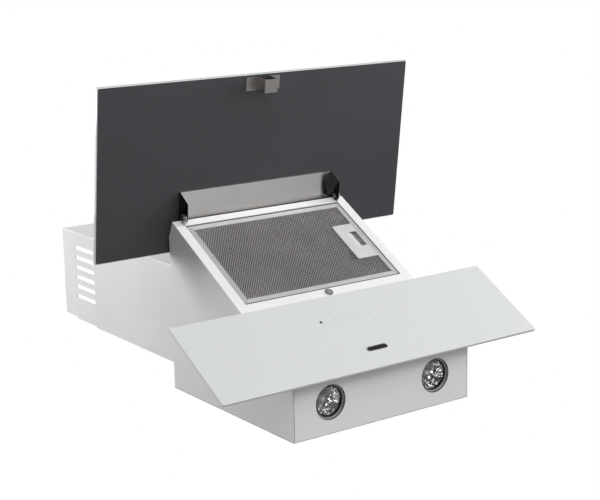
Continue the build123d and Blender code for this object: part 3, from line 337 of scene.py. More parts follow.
@dataclass(frozen=True)
class Paint:
    """Powder coat or enamel on sheet metal.

    joint_x is where a dark joint begins on both sides, and recess the depth under the front
    frame's face where a shadow begins. Either is left out where it is 0.
    """

    name: str
    colour: tuple
    roughness: float = 0.38
    peel: float = 0.0016
    depth: float = 0.00004
    joint_x: float = 0.0
    joint_tone: float = 0.12
    recess: float = 0.0
    recess_soft: float = 1.5 * MM
    recess_tone: float = 0.22

    def material(self) -> bpy.types.Material:
        """Builds the material.

        Returns:
            The material.
        """
        recipe = Recipe(
            self.name, self.colour, self.roughness, Coat_Weight=0.15, Coat_Roughness=0.2
        )
        cloud = recipe.noise(size=0.16, detail=2.0)
        tone = recipe.vary(cloud, self.colour, low=0.97, high=1.02)
        if self.joint_x:
            reach = recipe.math("ABSOLUTE", recipe.across())
            beyond = recipe.math("GREATER_THAN", reach, self.joint_x)
            tone = recipe.mix(beyond, tone, shade(self.colour, self.joint_tone))
        if self.recess:
            height = recipe.along(OUTWARD, NOSE)
            deep = recipe.ramp(height, -self.recess, -self.recess - self.recess_soft)
            tone = recipe.fade(deep, tone, self.recess_tone)
        recipe.colour(tone)
        recipe.rough(cloud, low=self.roughness - 0.05, high=self.roughness + 0.06)
        recipe.bump(recipe.noise(size=self.peel, detail=2.0), self.depth, strength=0.5)
        return recipe.material


@dataclass(frozen=True)
class PaintedGlass:
    """Glass painted on its back, with its edges tinted.

    facing is the normal of its flat sides, and flatness how close to it a flat face's normal is.
    """

    name: str
    colour: tuple
    edge: tuple
    facing: tuple
    flatness: float = 0.9

    def material(self) -> bpy.types.Material:
        """Builds the material.

        Returns:
            The material.
        """
        recipe = Recipe(
            self.name, self.colour, roughness=0.05, Coat_Weight=0.6, Coat_Roughness=0.02, IOR=1.5
        )
        turned = recipe.add("VectorMath", operation="DOT_PRODUCT")
        recipe.join(recipe.add("NewGeometry").outputs["True Normal"], turned, 0)
        turned.inputs[1].default_value = self.facing
        facing = recipe.math("ABSOLUTE", turned.outputs["Value"])
        flat = recipe.math("GREATER_THAN", facing, self.flatness)
        recipe.colour(recipe.mix(flat, self.edge, self.colour))
        recipe.rough(recipe.noise(size=0.05, detail=4.0), low=0.04, high=0.09)
        recipe.bump(recipe.noise(size=0.3, detail=1.0), depth=0.0002, strength=0.3)
        return recipe.material


@dataclass(frozen=True)
class Metal:
    """Bare metal with brush marks, mill grain or a polish.

    mark is the width of its marks, streak how many times longer brushed ones are, and the two
    shares say how much of its pattern comes from the marks and how much from wider clouds.
    """

    name: str
    colour: tuple
    roughness: float
    grain: Grain = Grain.EVEN
    mark: float = 0.0009
    depth: float = 0.00001
    contrast: float = 0.12
    streak: float = 30.0
    line_share: float = 0.65
    cloud_share: float = 0.35

    def shadow(self, recipe: Recipe, tone: Socket) -> Socket:
        """Colour with the shadows of this finish, which plain metal has none of."""
        return tone

    def material(self) -> bpy.types.Material:
        """Builds the material.

        Returns:
            The material.
        """
        recipe = Recipe(self.name, self.colour, self.roughness, Metallic=1.0)
        size = self.mark if self.grain is Grain.EVEN else self.mark * self.streak
        lines = recipe.noise(size, scale=self.grain.value)
        cloud = recipe.noise(size=0.03)
        shares = (
            recipe.math("MULTIPLY", lines, self.line_share),
            recipe.math("MULTIPLY", cloud, self.cloud_share),
        )
        both = recipe.math("ADD", *shares)
        tone = recipe.vary(both, self.colour, low=1 - self.contrast, high=1 + self.contrast)
        recipe.colour(self.shadow(recipe, tone))
        recipe.rough(both, low=self.roughness * 0.75, high=self.roughness * 1.3)
        recipe.bump(lines, self.depth, strength=0.6)
        return recipe.material


@dataclass(frozen=True)
class HingeSteel(Metal):
    """Stainless steel of the hinge bracket, dark at its ears, beside the right one and below.

    ends is where the ears begin on both sides, and right_end where the steel beside the right
    one darkens. foot is how far up the web its dark foot reaches, counted from foot_line. The
    ears and the steel beside the right one are painted dark as reflections of the dark backing,
    and the foot is a painted shadow.
    """

    ends: float = 147.4 * MM
    ear_soft: float = 1.0 * MM
    ear_reflection_tone: float = 0.12
    right_end: float = 128.0 * MM
    right_soft: float = 5.0 * MM
    right_reflection_tone: float = 0.55
    web_up: tuple = (0.0, -0.6, 0.8)
    foot_line: tuple = (0.0, -304.6 * MM, 7.3 * MM)
    foot: float = 2.0 * MM
    foot_shadow_tone: float = 0.08

    def shadow(self, recipe: Recipe, tone: Socket) -> Socket:
        """Darkens both ends and the foot.

        Args:
            recipe: the material's node tree.
            tone: the colour without shadows.

        Returns:
            The colour with its shadows.
        """
        # Painted dark reflections beside the right ear and on both ears.
        across = recipe.across()
        zone = recipe.ramp(across, self.right_end, self.right_end + self.right_soft)
        inside = recipe.math("LESS_THAN", across, self.ends)
        tone = recipe.fade(recipe.math("MULTIPLY", zone, inside), tone, self.right_reflection_tone)
        reach = recipe.math("ABSOLUTE", across)
        ears = recipe.ramp(reach, self.ends, self.ends + self.ear_soft)
        tone = recipe.fade(ears, tone, self.ear_reflection_tone)
        # Painted shadow along the foot of the web.
        climb = recipe.along(Vector(self.web_up), Vector(self.foot_line))
        return recipe.fade(recipe.ramp(climb, self.foot, 0.5 * self.foot), tone, self.foot_shadow_tone)


@dataclass(frozen=True)
class CappedMetal(Metal):
    """Metal whose outermost faces are dark, along one direction."""

    # The outermost faces are painted dark as shade and a dark reflection.
    outward: tuple = (0.0, 0.0, -1.0)
    level: float = 0.0
    cap_shade_tone: float = 0.1

    def shadow(self, recipe: Recipe, tone: Socket) -> Socket:
        """Darkens what lies beyond the level."""
        # Painted shade and dark reflection on what lies beyond the level.
        out = recipe.along(Vector(self.outward), Vector())
        return recipe.fade(recipe.math("GREATER_THAN", out, self.level), tone, self.cap_shade_tone)


@dataclass(frozen=True)
class Spangle:
    """Galvanised sheet with its crystal pattern."""

    name: str
    colour: tuple
    roughness: float = 0.42
    crystal: float = 0.009

    def material(self) -> bpy.types.Material:
        """Builds the material.

        Returns:
            The material.
        """
        recipe = Recipe(self.name, self.colour, self.roughness, Metallic=0.9)
        cells = recipe.add("TexVoronoi", Scale=1.0 / self.crystal)
        recipe.join(recipe.place(), cells, "Vector")
        grey = recipe.add("RGBToBW")
        recipe.join(cells.outputs["Color"], grey, 0)
        tone = grey.outputs[0]
        recipe.colour(recipe.vary(tone, self.colour, low=0.84, high=1.14))
        recipe.rough(tone, low=self.roughness - 0.1, high=self.roughness + 0.1)
        recipe.bump(recipe.noise(size=0.0012, detail=2.0), depth=0.00002, strength=0.4)
        return recipe.material


@dataclass(frozen=True)
class Moulded:
    """Plastic, ceramic or ink, with a fine grain.

    recess is the depth under the front frame's face where a shadow begins, to the right of
    slit. There is none where it is 0.
    """

    name: str
    colour: tuple
    roughness: float = 0.5
    grain: float = 0.0007
    depth: float = 0.00004
    recess: float = 0.0
    recess_soft: float = 1.2 * MM
    recess_tone: float = 0.5
    slit: float = 0.0
    slit_before: float = 1.5 * MM
    slit_after: float = 1.0 * MM

    def material(self) -> bpy.types.Material:
        """Builds the material.

        Returns:
            The material.
        """
        recipe = Recipe(self.name, self.colour, self.roughness)
        cloud = recipe.noise(size=0.02)
        tone = recipe.vary(cloud, self.colour, low=0.96, high=1.04)
        if self.recess:
            height = recipe.along(OUTWARD, NOSE)
            deep = recipe.ramp(height, -self.recess, -self.recess - self.recess_soft)
            start, end = self.slit - self.slit_before, self.slit + self.slit_after
            beyond = recipe.ramp(recipe.across(), start, end)
            tone = recipe.fade(recipe.math("MULTIPLY", deep, beyond), tone, self.recess_tone)
        recipe.colour(tone)
        recipe.rough(cloud, low=self.roughness - 0.06, high=self.roughness + 0.08)
        recipe.bump(recipe.noise(size=self.grain, detail=2.0), self.depth, strength=0.5)
        return recipe.material


@dataclass(frozen=True)
class SealRubber:
    """Ring of rubber under each lens, black inside and grey outside."""

    name: str
    colour: tuple = (0.012, 0.012, 0.012)
    outer_grey: tuple = (0.42, 0.42, 0.42)
    grey_from: float = 24.4 * MM
    soft: float = 0.2 * MM

    def material(self) -> bpy.types.Material:
        """Builds the material.

        Returns:
            The material.
        """
        recipe = Recipe(self.name, self.colour, roughness=0.6)
        centre = Vector((LAMP_X, -LAMP_WALL_DISTANCE, 0.0))
        radius = recipe.radius(Vector((0.0, 1.0, 0.0)), centre)
        outer = recipe.ramp(radius, self.grey_from - self.soft, self.grey_from + self.soft)
        recipe.colour(recipe.mix(outer, self.colour, self.outer_grey))
        recipe.rough(recipe.noise(size=0.002), low=0.5, high=0.7)
        recipe.bump(recipe.noise(size=0.0008, detail=2.0), depth=0.00003, strength=0.5)
        return recipe.material


@dataclass(frozen=True)
class ClearGlass:
    """Clear pressed glass."""

    name: str
    alpha: float = 0.04
    colour: tuple = (0.03, 0.03, 0.03)

    def material(self) -> bpy.types.Material:
        """Builds the material.

        Returns:
            The material.
        """
        recipe = Recipe(self.name, self.colour, roughness=0.03, Alpha=self.alpha, IOR=1.5)
        recipe.bump(recipe.noise(size=0.006, detail=1.0), depth=0.00005, strength=0.2)
        recipe.rough(recipe.noise(size=0.01), low=0.02, high=0.05)
        return recipe.material


@dataclass(frozen=True)
class MitredAluminium:
    """Rolled aluminium of the filter's frame, with a dark joint across each corner.

    The rails at the top and the bottom are painted lighter than the sides, a painted sheen. The
    frame has a painted shadow below lip, counted from the front frame's face, and along its bottom
    edge.
    """

    name: str
    colour: tuple
    half_width: float
    half_height: float
    centre: Vector
    joint: float = 0.35 * MM
    joint_colour: tuple = (0.03, 0.03, 0.032)
    joint_depth: float = 0.0002
    top_sheen: float = 1.25
    bottom_sheen: float = 1.1
    lip: float = 1.6 * MM
    lip_soft: float = 1.0 * MM
    lip_shadow_tone: float = 0.3
    foot: float = 1.2 * MM
    foot_soft: float = 0.4 * MM
    foot_shadow_tone: float = 0.12

    def material(self) -> bpy.types.Material:
        """Builds the material.

        Returns:
            The material.
        """
        recipe = Recipe(self.name, self.colour, roughness=0.4, Metallic=0.45)
        reach = recipe.math("ABSOLUTE", recipe.along(RIGHT, self.centre))
        rise = recipe.along(UP_SLOPE, self.centre)
        skew = recipe.math("SUBTRACT", reach, recipe.math("ABSOLUTE", rise))
        off = recipe.math("SUBTRACT", skew, self.half_width - self.half_height)
        grain = recipe.noise(size=0.001, scale=(0.15, 1.0, 1.0))
        tone = recipe.vary(grain, self.colour, low=0.94, high=1.05)
        lying = recipe.math("LESS_THAN", off, 0.0)
        # Painted sheen: the top and bottom rails are made lighter.
        for side, factor in (("GREATER_THAN", self.top_sheen), ("LESS_THAN", self.bottom_sheen)):
            rail = recipe.math("MULTIPLY", lying, recipe.math(side, rise, 0.0))
            tone = recipe.mix(rail, tone, shade(self.colour, factor))
        # Painted shadow below the lip and along the bottom edge.
        height = recipe.along(OUTWARD, NOSE)
        deep = recipe.ramp(height, -self.lip, -self.lip - self.lip_soft)
        tone = recipe.fade(deep, tone, self.lip_shadow_tone)
        edge = self.foot - self.half_height
        tone = recipe.fade(recipe.ramp(rise, edge, edge - self.foot_soft), tone, self.foot_shadow_tone)
        line = recipe.math("LESS_THAN", recipe.math("ABSOLUTE", off), self.joint)
        recipe.colour(recipe.mix(line, tone, self.joint_colour))
        recipe.rough(recipe.noise(size=0.012), low=0.34, high=0.48)
        recipe.bump(recipe.math("SUBTRACT", 1.0, line), self.joint_depth, strength=0.8)
        return recipe.material


@dataclass(frozen=True)
class Board:
    """Solder mask with tracks under it."""

    name: str
    colour: tuple = (0.012, 0.10, 0.04)
    tracks: tuple = (0.03, 0.22, 0.08)

    def material(self) -> bpy.types.Material:
        """Builds the material.

        Returns:
            The material.
        """
        recipe = Recipe(self.name, self.colour, roughness=0.3)
        bricks = recipe.add("TexBrick", Scale=220.0, Mortar_Size=0.06)
        recipe.join(recipe.place(), bricks, "Vector")
        recipe.colour(recipe.mix(bricks.outputs["Fac"], self.colour, self.tracks))
        recipe.rough(recipe.noise(size=0.01), low=0.22, high=0.4)
        return recipe.material


@dataclass(frozen=True)
class PaleFloor:
    """Floor that looks as pale as the surround, and lights the hood no more than it."""

    name: str
    colour: tuple = (0.82, 0.82, 0.82)
    glow: float = 0.4

    def material(self) -> bpy.types.Material:
        """Builds the material.

        Returns:
            The material.
        """
        recipe = Recipe(self.name, self.colour, roughness=0.8)
        recipe.bump(recipe.noise(size=0.01, detail=2.0), depth=0.00004, strength=0.5)
        seen = recipe.add("LightPath").outputs["Is Camera Ray"]
        recipe.shader.inputs["Emission Color"].default_value = (1.0, 1.0, 1.0, 1.0)
        recipe.join(recipe.math("MULTIPLY", seen, self.glow), recipe.shader, "Emission Strength")
        return recipe.material


class Bench:
    """Steps of modelling by hand that the pieces share."""

    @staticmethod
    def clear() -> None:
        """Leaves nothing selected, in object mode."""
        if bpy.context.object is not None and bpy.context.object.mode != "OBJECT":
            bpy.ops.object.mode_set(mode="OBJECT")
        bpy.ops.object.select_all(action="DESELECT")

    @staticmethod
    def edit() -> bmesh.types.BMesh:
        """Enters edit mode on the active piece and returns its mesh."""
        bpy.ops.object.mode_set(mode="EDIT")
        return bmesh.from_edit_mesh(bpy.context.object.data)

    @staticmethod
    def pick_faces(mesh: bmesh.types.BMesh, wanted: Callable) -> None:
        """Selects the faces that pass a test and nothing else.

        Args:
            mesh: the mesh in edit mode.
            wanted: function from a face to True or False.
        """
        bpy.ops.mesh.select_all(action="DESELECT")
        bpy.ops.mesh.select_mode(type="FACE")
        for face in mesh.faces:
            face.select_set(bool(wanted(face)))
        bmesh.update_edit_mesh(bpy.context.object.data)

    @staticmethod
    def pick_points(wanted: Callable) -> None:
        """Selects the corners that pass a test and nothing else.

        Args:
            wanted: function from a corner to True or False.
        """
        bpy.ops.mesh.select_mode(type="VERT")
        bpy.ops.mesh.select_all(action="DESELECT")
        mesh = bmesh.from_edit_mesh(bpy.context.object.data)
        for point in mesh.verts:
            point.select_set(bool(wanted(point)))
        mesh.select_flush(True)
        bmesh.update_edit_mesh(bpy.context.object.data)

    @staticmethod
    def pick_edges(mesh: bmesh.types.BMesh, wanted: Callable) -> None:
        """Selects the edges that pass a test and nothing else.

        Args:
            mesh: the mesh in edit mode.
            wanted: function from an edge to True or False.
        """
        bpy.ops.mesh.select_all(action="DESELECT")
        bpy.ops.mesh.select_mode(type="EDGE")
        for edge in mesh.edges:
            edge.select_set(bool(wanted(edge)))
        bmesh.update_edit_mesh(bpy.context.object.data)

    @staticmethod
    def modify(kind: str, **settings: object) -> None:
        """Adds a modifier to the active piece and applies it.

        Args:
            kind: the modifier's type.
            **settings: its properties.
        """
        modifier = bpy.context.object.modifiers.new(kind.lower(), kind)
        for key, value in settings.items():
            setattr(modifier, key, value)
        bpy.ops.object.modifier_apply(modifier=modifier.name)

    @staticmethod
    def settle(
        name: str, matrix: Matrix, material: bpy.types.Material, body: str, slot: str
    ) -> bpy.types.Object:
        """Moves the active piece into place, applies its place to its mesh, and dresses it.

        Args:
            name: the piece's name.
            matrix: where its own frame goes.
            material: its finish.
            body: the body it rides on.
            slot: the record's material slot; not used.

        Returns:
            The finished piece.
        """
        if bpy.context.object.mode != "OBJECT":
            bpy.ops.object.mode_set(mode="OBJECT")
        piece = bpy.context.object
        piece.name = name
        piece.data.name = name
        piece.data.transform(matrix @ piece.matrix_world)
        piece.matrix_world = Matrix.Identity(4)
        piece.data.materials.clear()
        piece.data.materials.append(material)
        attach(piece, body)
        log.info("%s: %d faces", name, len(piece.data.polygons))
        return piece


@dataclass
class Palette:
    """Every finish of the hood, each built once.

    A node's finish is the one of its material slot, unless SPECIAL gives it another.
    """

    made: dict = field(default_factory=dict)

    FINISHES = (
        Paint("white_paint", WHITE),
        Paint("white_paint_jointed", WHITE, joint_x=166.3 * MM),
        Paint("white_paint_framed", WHITE, recess=0.6 * MM),
        PaintedGlass(
            "white_glass_upper",
            colour=(0.80, 0.83, 0.84),
            edge=(0.62, 0.68, 0.67),
            facing=(0.0, -0.129, 0.9917),
        ),
        PaintedGlass(
            "white_glass_lower",
            colour=(0.665, 0.68, 0.685),
            edge=(0.80, 0.82, 0.82),
            facing=tuple(OUTWARD),
        ),
        Paint("backing", (0.037, 0.037, 0.044), 0.55, peel=0.0008, depth=0.00003),
        # Hinge bracket steel with painted dark reflections at its ends and a painted shadow at its
        # foot.
        HingeSteel("stainless", (0.90, 0.88, 0.865), 0.19, Grain.ACROSS, contrast=0.05),
        Metal("stainless_dull", (0.42, 0.40, 0.38), 0.34, Grain.ACROSS),
        Metal("zinc", (0.72, 0.72, 0.71), 0.3),
        Spangle("galvanised", (0.52, 0.53, 0.54)),
        MitredAluminium(
            "aluminium",
            colour=(0.585, 0.578, 0.573),
            half_width=150.1 * MM,
            half_height=93.65 * MM,
            centre=FACE @ Vector((0, -108.55 * MM, 0)),
        ),
        Metal("mesh", (0.80, 0.775, 0.77), 0.38, mark=0.002),
        # Inner mesh layers of the filter, painted near black as the shade seen through the front
        # mesh.
        Metal("mesh_in_shade", (0.014, 0.013, 0.014), 0.6, mark=0.003),
        Moulded("handle_grey", (0.57, 0.565, 0.56), 0.45, recess=3.0 * MM, slit=130.3 * MM),
        Metal("magnet", (0.47, 0.46, 0.44), 0.42),
        # The magnet cup's outer face is painted dark as shade and a dark reflection.
        CappedMetal(
            "magnet_cup",
            (0.62, 0.62, 0.60),
            0.35,
            outward=tuple(OUTWARD),
            level=NOSE.dot(OUTWARD) + 1.3 * MM,
        ),
        Metal("screw", (0.46, 0.46, 0.45), 0.3),
        Metal("screw_dark", (0.16, 0.16, 0.16), 0.35),
        # The bezels' outermost faces are painted dark as shade and a dark reflection.
        CappedMetal("bezel", (0.48, 0.48, 0.475), 0.42, level=294.8 * MM),
        SealRubber("rubber"),
        ClearGlass("clear_glass"),
        ClearGlass("capsule_glass", alpha=0.45, colour=(0.9, 0.9, 0.9)),
        Metal("reflector", (0.50, 0.50, 0.505), 0.05, mark=0.004, contrast=0.05),
        Moulded("ceramic", (0.68, 0.65, 0.58), 0.35, grain=0.002),
        Moulded("black_plastic", (0.018, 0.018, 0.02), 0.48),
        Moulded("grey_plastic", (0.10, 0.105, 0.11), 0.5),
        Board("board"),
        Paint("motor", (0.02, 0.02, 0.022), 0.4, peel=0.001),
        Metal("shaft", (0.5, 0.5, 0.51), 0.2),
        Moulded("capacitor", (0.62, 0.62, 0.60), 0.3, grain=0.003),
        Moulded("ink", (0.36, 0.37, 0.38), 0.5, grain=0.002),
        Moulded("dot_black", (0.006, 0.006, 0.006), 0.7, grain=0.002),
        Metal("plate", (0.06, 0.06, 0.065), 0.3, Grain.ACROSS),
        Metal("plate_rim", (0.7, 0.7, 0.7), 0.25),
    )
    BY_NAME = {finish.name: finish for finish in FINISHES}
    SPECIAL = {
        "upper_glass": "white_glass_upper",
        "lower_glass": "white_glass_lower",
        "filter_mesh_layers": "mesh_in_shade",
        "lamp_plate": "white_paint_jointed",
        "latch_bracket": "stainless_dull",
        "hinge_lugs": "zinc",
        "front_frame": "white_paint_framed",
        "pivot_screws": "screw_dark",
        "magnet_holder": "magnet_cup",
        "lamp_capsules": "capsule_glass",
    }

    def get(self, name: str) -> bpy.types.Material:
        """Material of a finish, built the first time it is asked for.

        Args:
            name: the finish's name.

        Returns:
            The material.
        """
        if name not in self.made:
            self.made[name] = self.BY_NAME[name].material()
        return self.made[name]

    def dress(self, nodes: dict, record: dict) -> None:
        """Gives every CAD node its finish.

        Args:
            nodes: the CAD nodes by name.
            record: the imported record.
        """
        slots = {row["node"]: row["material_slot"] for row in record["subparts"]}
        for name, node in nodes.items():
            node.data.materials.clear()
            node.data.materials.append(self.get(self.SPECIAL.get(name, slots[name])))
        log.info("dressed %d nodes", len(nodes))


@dataclass
class MeshLayer:
    """One outer layer of the grease filter: expanded metal whose strands lean like louvres.

    level is its height over the front frame's face. tray is the window that it leaves for the
    handle, as left, right, low and high, and there is none where it is empty.
    """

    palette: Palette
    name: str
    stands_for: str
    level: float
    tray: tuple = ()
    half_width: float = 149.0 * MM
    low: float = -201.0 * MM
    high: float = -16.1 * MM
    cell_width: float = 3.27 * MM
    cell_height: float = 6.9 * MM
    strand: float = 0.34 * MM
    lean: float = -0.35 * MM
    thickness: float = 0.3 * MM

    TRAY = (106.4 * MM, 139.2 * MM, -129.0 * MM, -85.0 * MM)
    TINY = 1e-6

    def straight(self, edge: bmesh.types.BMEdge) -> bool:
        """True for an inner edge of the first grid, which the diamonds do without."""
        run = edge.verts[0].co - edge.verts[1].co
        return len(edge.link_faces) == 2 and min(abs(run.x), abs(run.y)) < self.TINY

    def build(self) -> None:
        """Builds the layer in place of its plain sheet."""
        Bench.clear()
        width, height = 2 * self.half_width, self.high - self.low
        columns, rows = round(width / self.cell_width), round(height / self.cell_height)
        bpy.ops.mesh.primitive_grid_add(x_subdivisions=columns, y_subdivisions=rows, size=1.0)
        bpy.context.object.scale = (width, height, 1.0)
        bpy.ops.object.transform_apply(location=True, rotation=True, scale=True)
        middle = (self.high + self.low) / 2
        mesh = Bench.edit()
        if self.tray:
            left, right, low, high = self.tray
            low, high = low - middle, high - middle
            Bench.pick_faces(
                mesh,
                lambda face: left < face.calc_center_median().x < right
                and low < face.calc_center_median().y < high,
            )
            bpy.ops.mesh.delete(type="FACE")
        bpy.ops.mesh.select_all(action="SELECT")
        bpy.ops.mesh.poke()
        Bench.pick_edges(bmesh.from_edit_mesh(bpy.context.object.data), self.straight)
        bpy.ops.mesh.dissolve_edges(use_verts=False)
        bpy.ops.mesh.select_mode(type="FACE")
        bpy.ops.mesh.select_all(action="SELECT")
        bpy.ops.mesh.inset(thickness=self.strand, use_individual=True)
        mesh = bmesh.from_edit_mesh(bpy.context.object.data)
        picked = [face for face in mesh.faces if face.select]
        holes = [[v.index for v in sorted(face.verts, key=lambda v: v.co.x)] for face in picked]
        for end, shift in ((0, self.lean), (-1, -self.lean)):
            corners = {hole[end] for hole in holes}
            Bench.pick_points(lambda point, chosen=corners: point.index in chosen)
            bpy.ops.transform.translate(value=(0.0, 0.0, shift))
        inner = {index for hole in holes for index in hole}
        mesh = bmesh.from_edit_mesh(bpy.context.object.data)
        Bench.pick_faces(mesh, lambda face: all(v.index in inner for v in face.verts))
        bpy.ops.mesh.delete(type="FACE")
        bpy.ops.object.mode_set(mode="OBJECT")
        Bench.modify("SOLIDIFY", thickness=self.thickness, offset=-1.0)
        place = FACE @ Matrix.Translation((0.0, middle, self.level))
        piece = Bench.settle(self.name, place, self.palette.get("mesh"), "filter", "mesh")
        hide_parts(self.stands_for)


@dataclass
class SpotLamp:
    """One lamp's dish, fluted from its mouth to its neck.

    The rings are pairs of a radius and a height over the lamp face, in millimetres, as are
    neck and calm, the height over the mouth above which the dish is dimpled.
    """

    palette: Palette
    name: str
    x: float
    points: int = 96
    flute: float = 0.978
    dimple: float = 0.05 * MM
    calm: float = 1.0
    seed: int = 4
    wall: float = 0.6 * MM
    neck: float = 36.2

    RINGS = (
        (22.4, 7.2),
        (21.6, 10.5),
        (20.2, 14.2),
        (18.0, 18.2),
        (15.0, 22.4),
        (11.2, 26.6),
        (7.0, 31.2),
    )

    def build(self) -> bpy.types.Object:
        """Builds the fluted dish in place of the plain one.

        Returns:
            The dish.
        """
        Bench.clear()
        radius, height = self.RINGS[0]
        bpy.ops.mesh.primitive_circle_add(
            vertices=self.points, radius=radius * MM, location=(0, 0, height * MM)
        )
        bpy.ops.object.transform_apply(location=True, rotation=True, scale=True)
        Bench.edit()
        Bench.pick_points(lambda point: point.index % 2)
        bpy.ops.transform.resize(
            value=(self.flute, self.flute, 1), center_override=(0, 0, height * MM)
        )
        bpy.ops.mesh.select_mode(type="EDGE")
        bpy.ops.mesh.select_all(action="SELECT")
        for new_radius, new_height in (*self.RINGS[1:], (self.RINGS[-1][0], self.neck)):
            rise = (new_height - height) * MM
            bpy.ops.mesh.extrude_region_move(TRANSFORM_OT_translate={"value": (0, 0, rise)})
            ratio = new_radius / radius
            bpy.ops.transform.resize(
                value=(ratio, ratio, 1), center_override=(0, 0, new_height * MM)
            )
            radius, height = new_radius, new_height
        Bench.pick_points(lambda point: point.co.z > (self.RINGS[0][1] + self.calm) * MM)
        bpy.ops.transform.vertex_random(offset=self.dimple, seed=self.seed)
        bpy.ops.mesh.select_all(action="SELECT")
        bpy.ops.mesh.normals_make_consistent(inside=False)
        bpy.ops.object.mode_set(mode="OBJECT")
        Bench.modify("SOLIDIFY", thickness=self.wall, offset=1.0)
        name = f"lamp_dish_{self.name}"
        place = Matrix.Translation((self.x, -LAMP_WALL_DISTANCE, LAMP_FACE))
        piece = Bench.settle(name, place, self.palette.get("reflector"), "hood", "reflector")
        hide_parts(f"lamp_reflector_{self.name}")
        return piece


@dataclass
class ControlMarks:
    """Printed marks of the touch strip: a dark dot, and faint signs for power, less, more and lamp.

    The last four sizes are shares of a sign's half height, apart from power_gap, which is in
    strokes to each side.
    """

    palette: Palette
    slope: float = -275.5 * MM
    thickness: float = 0.06 * MM
    size: float = 5.6 * MM
    pitch: float = 20.4 * MM
    first: float = -30.3 * MM
    dot_x: float = -59.0 * MM
    dot_radius: float = 2.5 * MM
    stroke: float = 0.6 * MM
    facets: int = 32
    power_gap: float = 2.2
    power_rise: float = 0.75
    lamp_radius: float = 0.7
    lamp_drop: float = 0.95

    def ring(self, x: float, outer: float, inner: float, gap: bool = False) -> None:
        """Adds a flat ring.

        Args:
            x: its centre.
            outer: its outer radius.
            inner: its inner radius, or 0 for a disc.
            gap: True to leave it open at the top.
        """
        bpy.ops.mesh.primitive_circle_add(
            vertices=self.facets, radius=outer, fill_type="NGON", location=(x, 0, 0)
        )
        mesh = Bench.edit()
        if inner > 0:
            bpy.ops.mesh.select_all(action="SELECT")
            bpy.ops.mesh.inset(thickness=outer - inner)
            bpy.ops.mesh.delete(type="FACE")
            mesh = bmesh.from_edit_mesh(bpy.context.object.data)
        if gap:
            reach = self.power_gap * self.stroke
            Bench.pick_faces(
                mesh,
                lambda face: abs(face.calc_center_median().x) < reach
                and face.calc_center_median().y > 0,
            )
            bpy.ops.mesh.delete(type="FACE")
        bpy.ops.object.mode_set(mode="OBJECT")

    def bar(self, x: float, y: float, width: float, height: float) -> None:
        """Adds a flat bar.

        Args:
            x: its centre, to the right.
            y: its centre, up.
            width: its size to the right.
            height: its size up.
        """
        bpy.ops.mesh.primitive_plane_add(size=1.0, location=(x, y, 0))
        bpy.context.object.scale = (width, height, 1.0)
        bpy.ops.object.transform_apply(location=False, rotation=False, scale=True)

    def signs(self) -> dict:
        """Strokes of every sign, each as the method that adds it and its arguments.

        Returns:
            The lists of strokes by the sign's name.
        """
        half, line = self.size / 2, self.stroke
        power_x, less_x, more_x, lamp_x = (self.first + i * self.pitch for i in range(4))
        bulb = half * self.lamp_radius
        arm, arm_y = half - line / 2, half / 2 + line / 4
        return {
            "mark_light": [(self.ring, self.dot_x, self.dot_radius, 0.0)],
            "mark_power": [
                (self.ring, power_x, half, half - line, True),
                (self.bar, power_x, half * self.power_rise, line, half),
            ],
            "mark_less": [(self.bar, less_x, 0.0, self.size, line)],
            "mark_more": [
                (self.bar, more_x, 0.0, self.size, line),
                (self.bar, more_x, arm_y, line, arm),
                (self.bar, more_x, -arm_y, line, arm),
            ],
            "mark_lamp": [
                (self.ring, lamp_x, bulb, bulb - line),
                (self.bar, lamp_x, -half * self.lamp_drop, bulb, line),
            ],
        }

    def build(self) -> None:
        """Builds every mark and joins each sign into one piece."""
        place = FACE @ Matrix.Translation((0.0, self.slope, GLASS_TOP))
        for name, strokes in self.signs().items():
            made = []
            for add, *sizes in strokes:
                Bench.clear()
                add(*sizes)
                made.append(bpy.context.object)
            Bench.clear()
            for stroke in made:
                stroke.select_set(True)
            bpy.context.view_layer.objects.active = made[0]
            if len(made) > 1:
                bpy.ops.object.join()
            bpy.ops.object.transform_apply(location=True, rotation=True, scale=True)
            Bench.modify("SOLIDIFY", thickness=self.thickness, offset=1.0)
            finish = "dot_black" if name == "mark_light" else "ink"
            Bench.settle(name, place, self.palette.get(finish), "hood", "black_plastic")


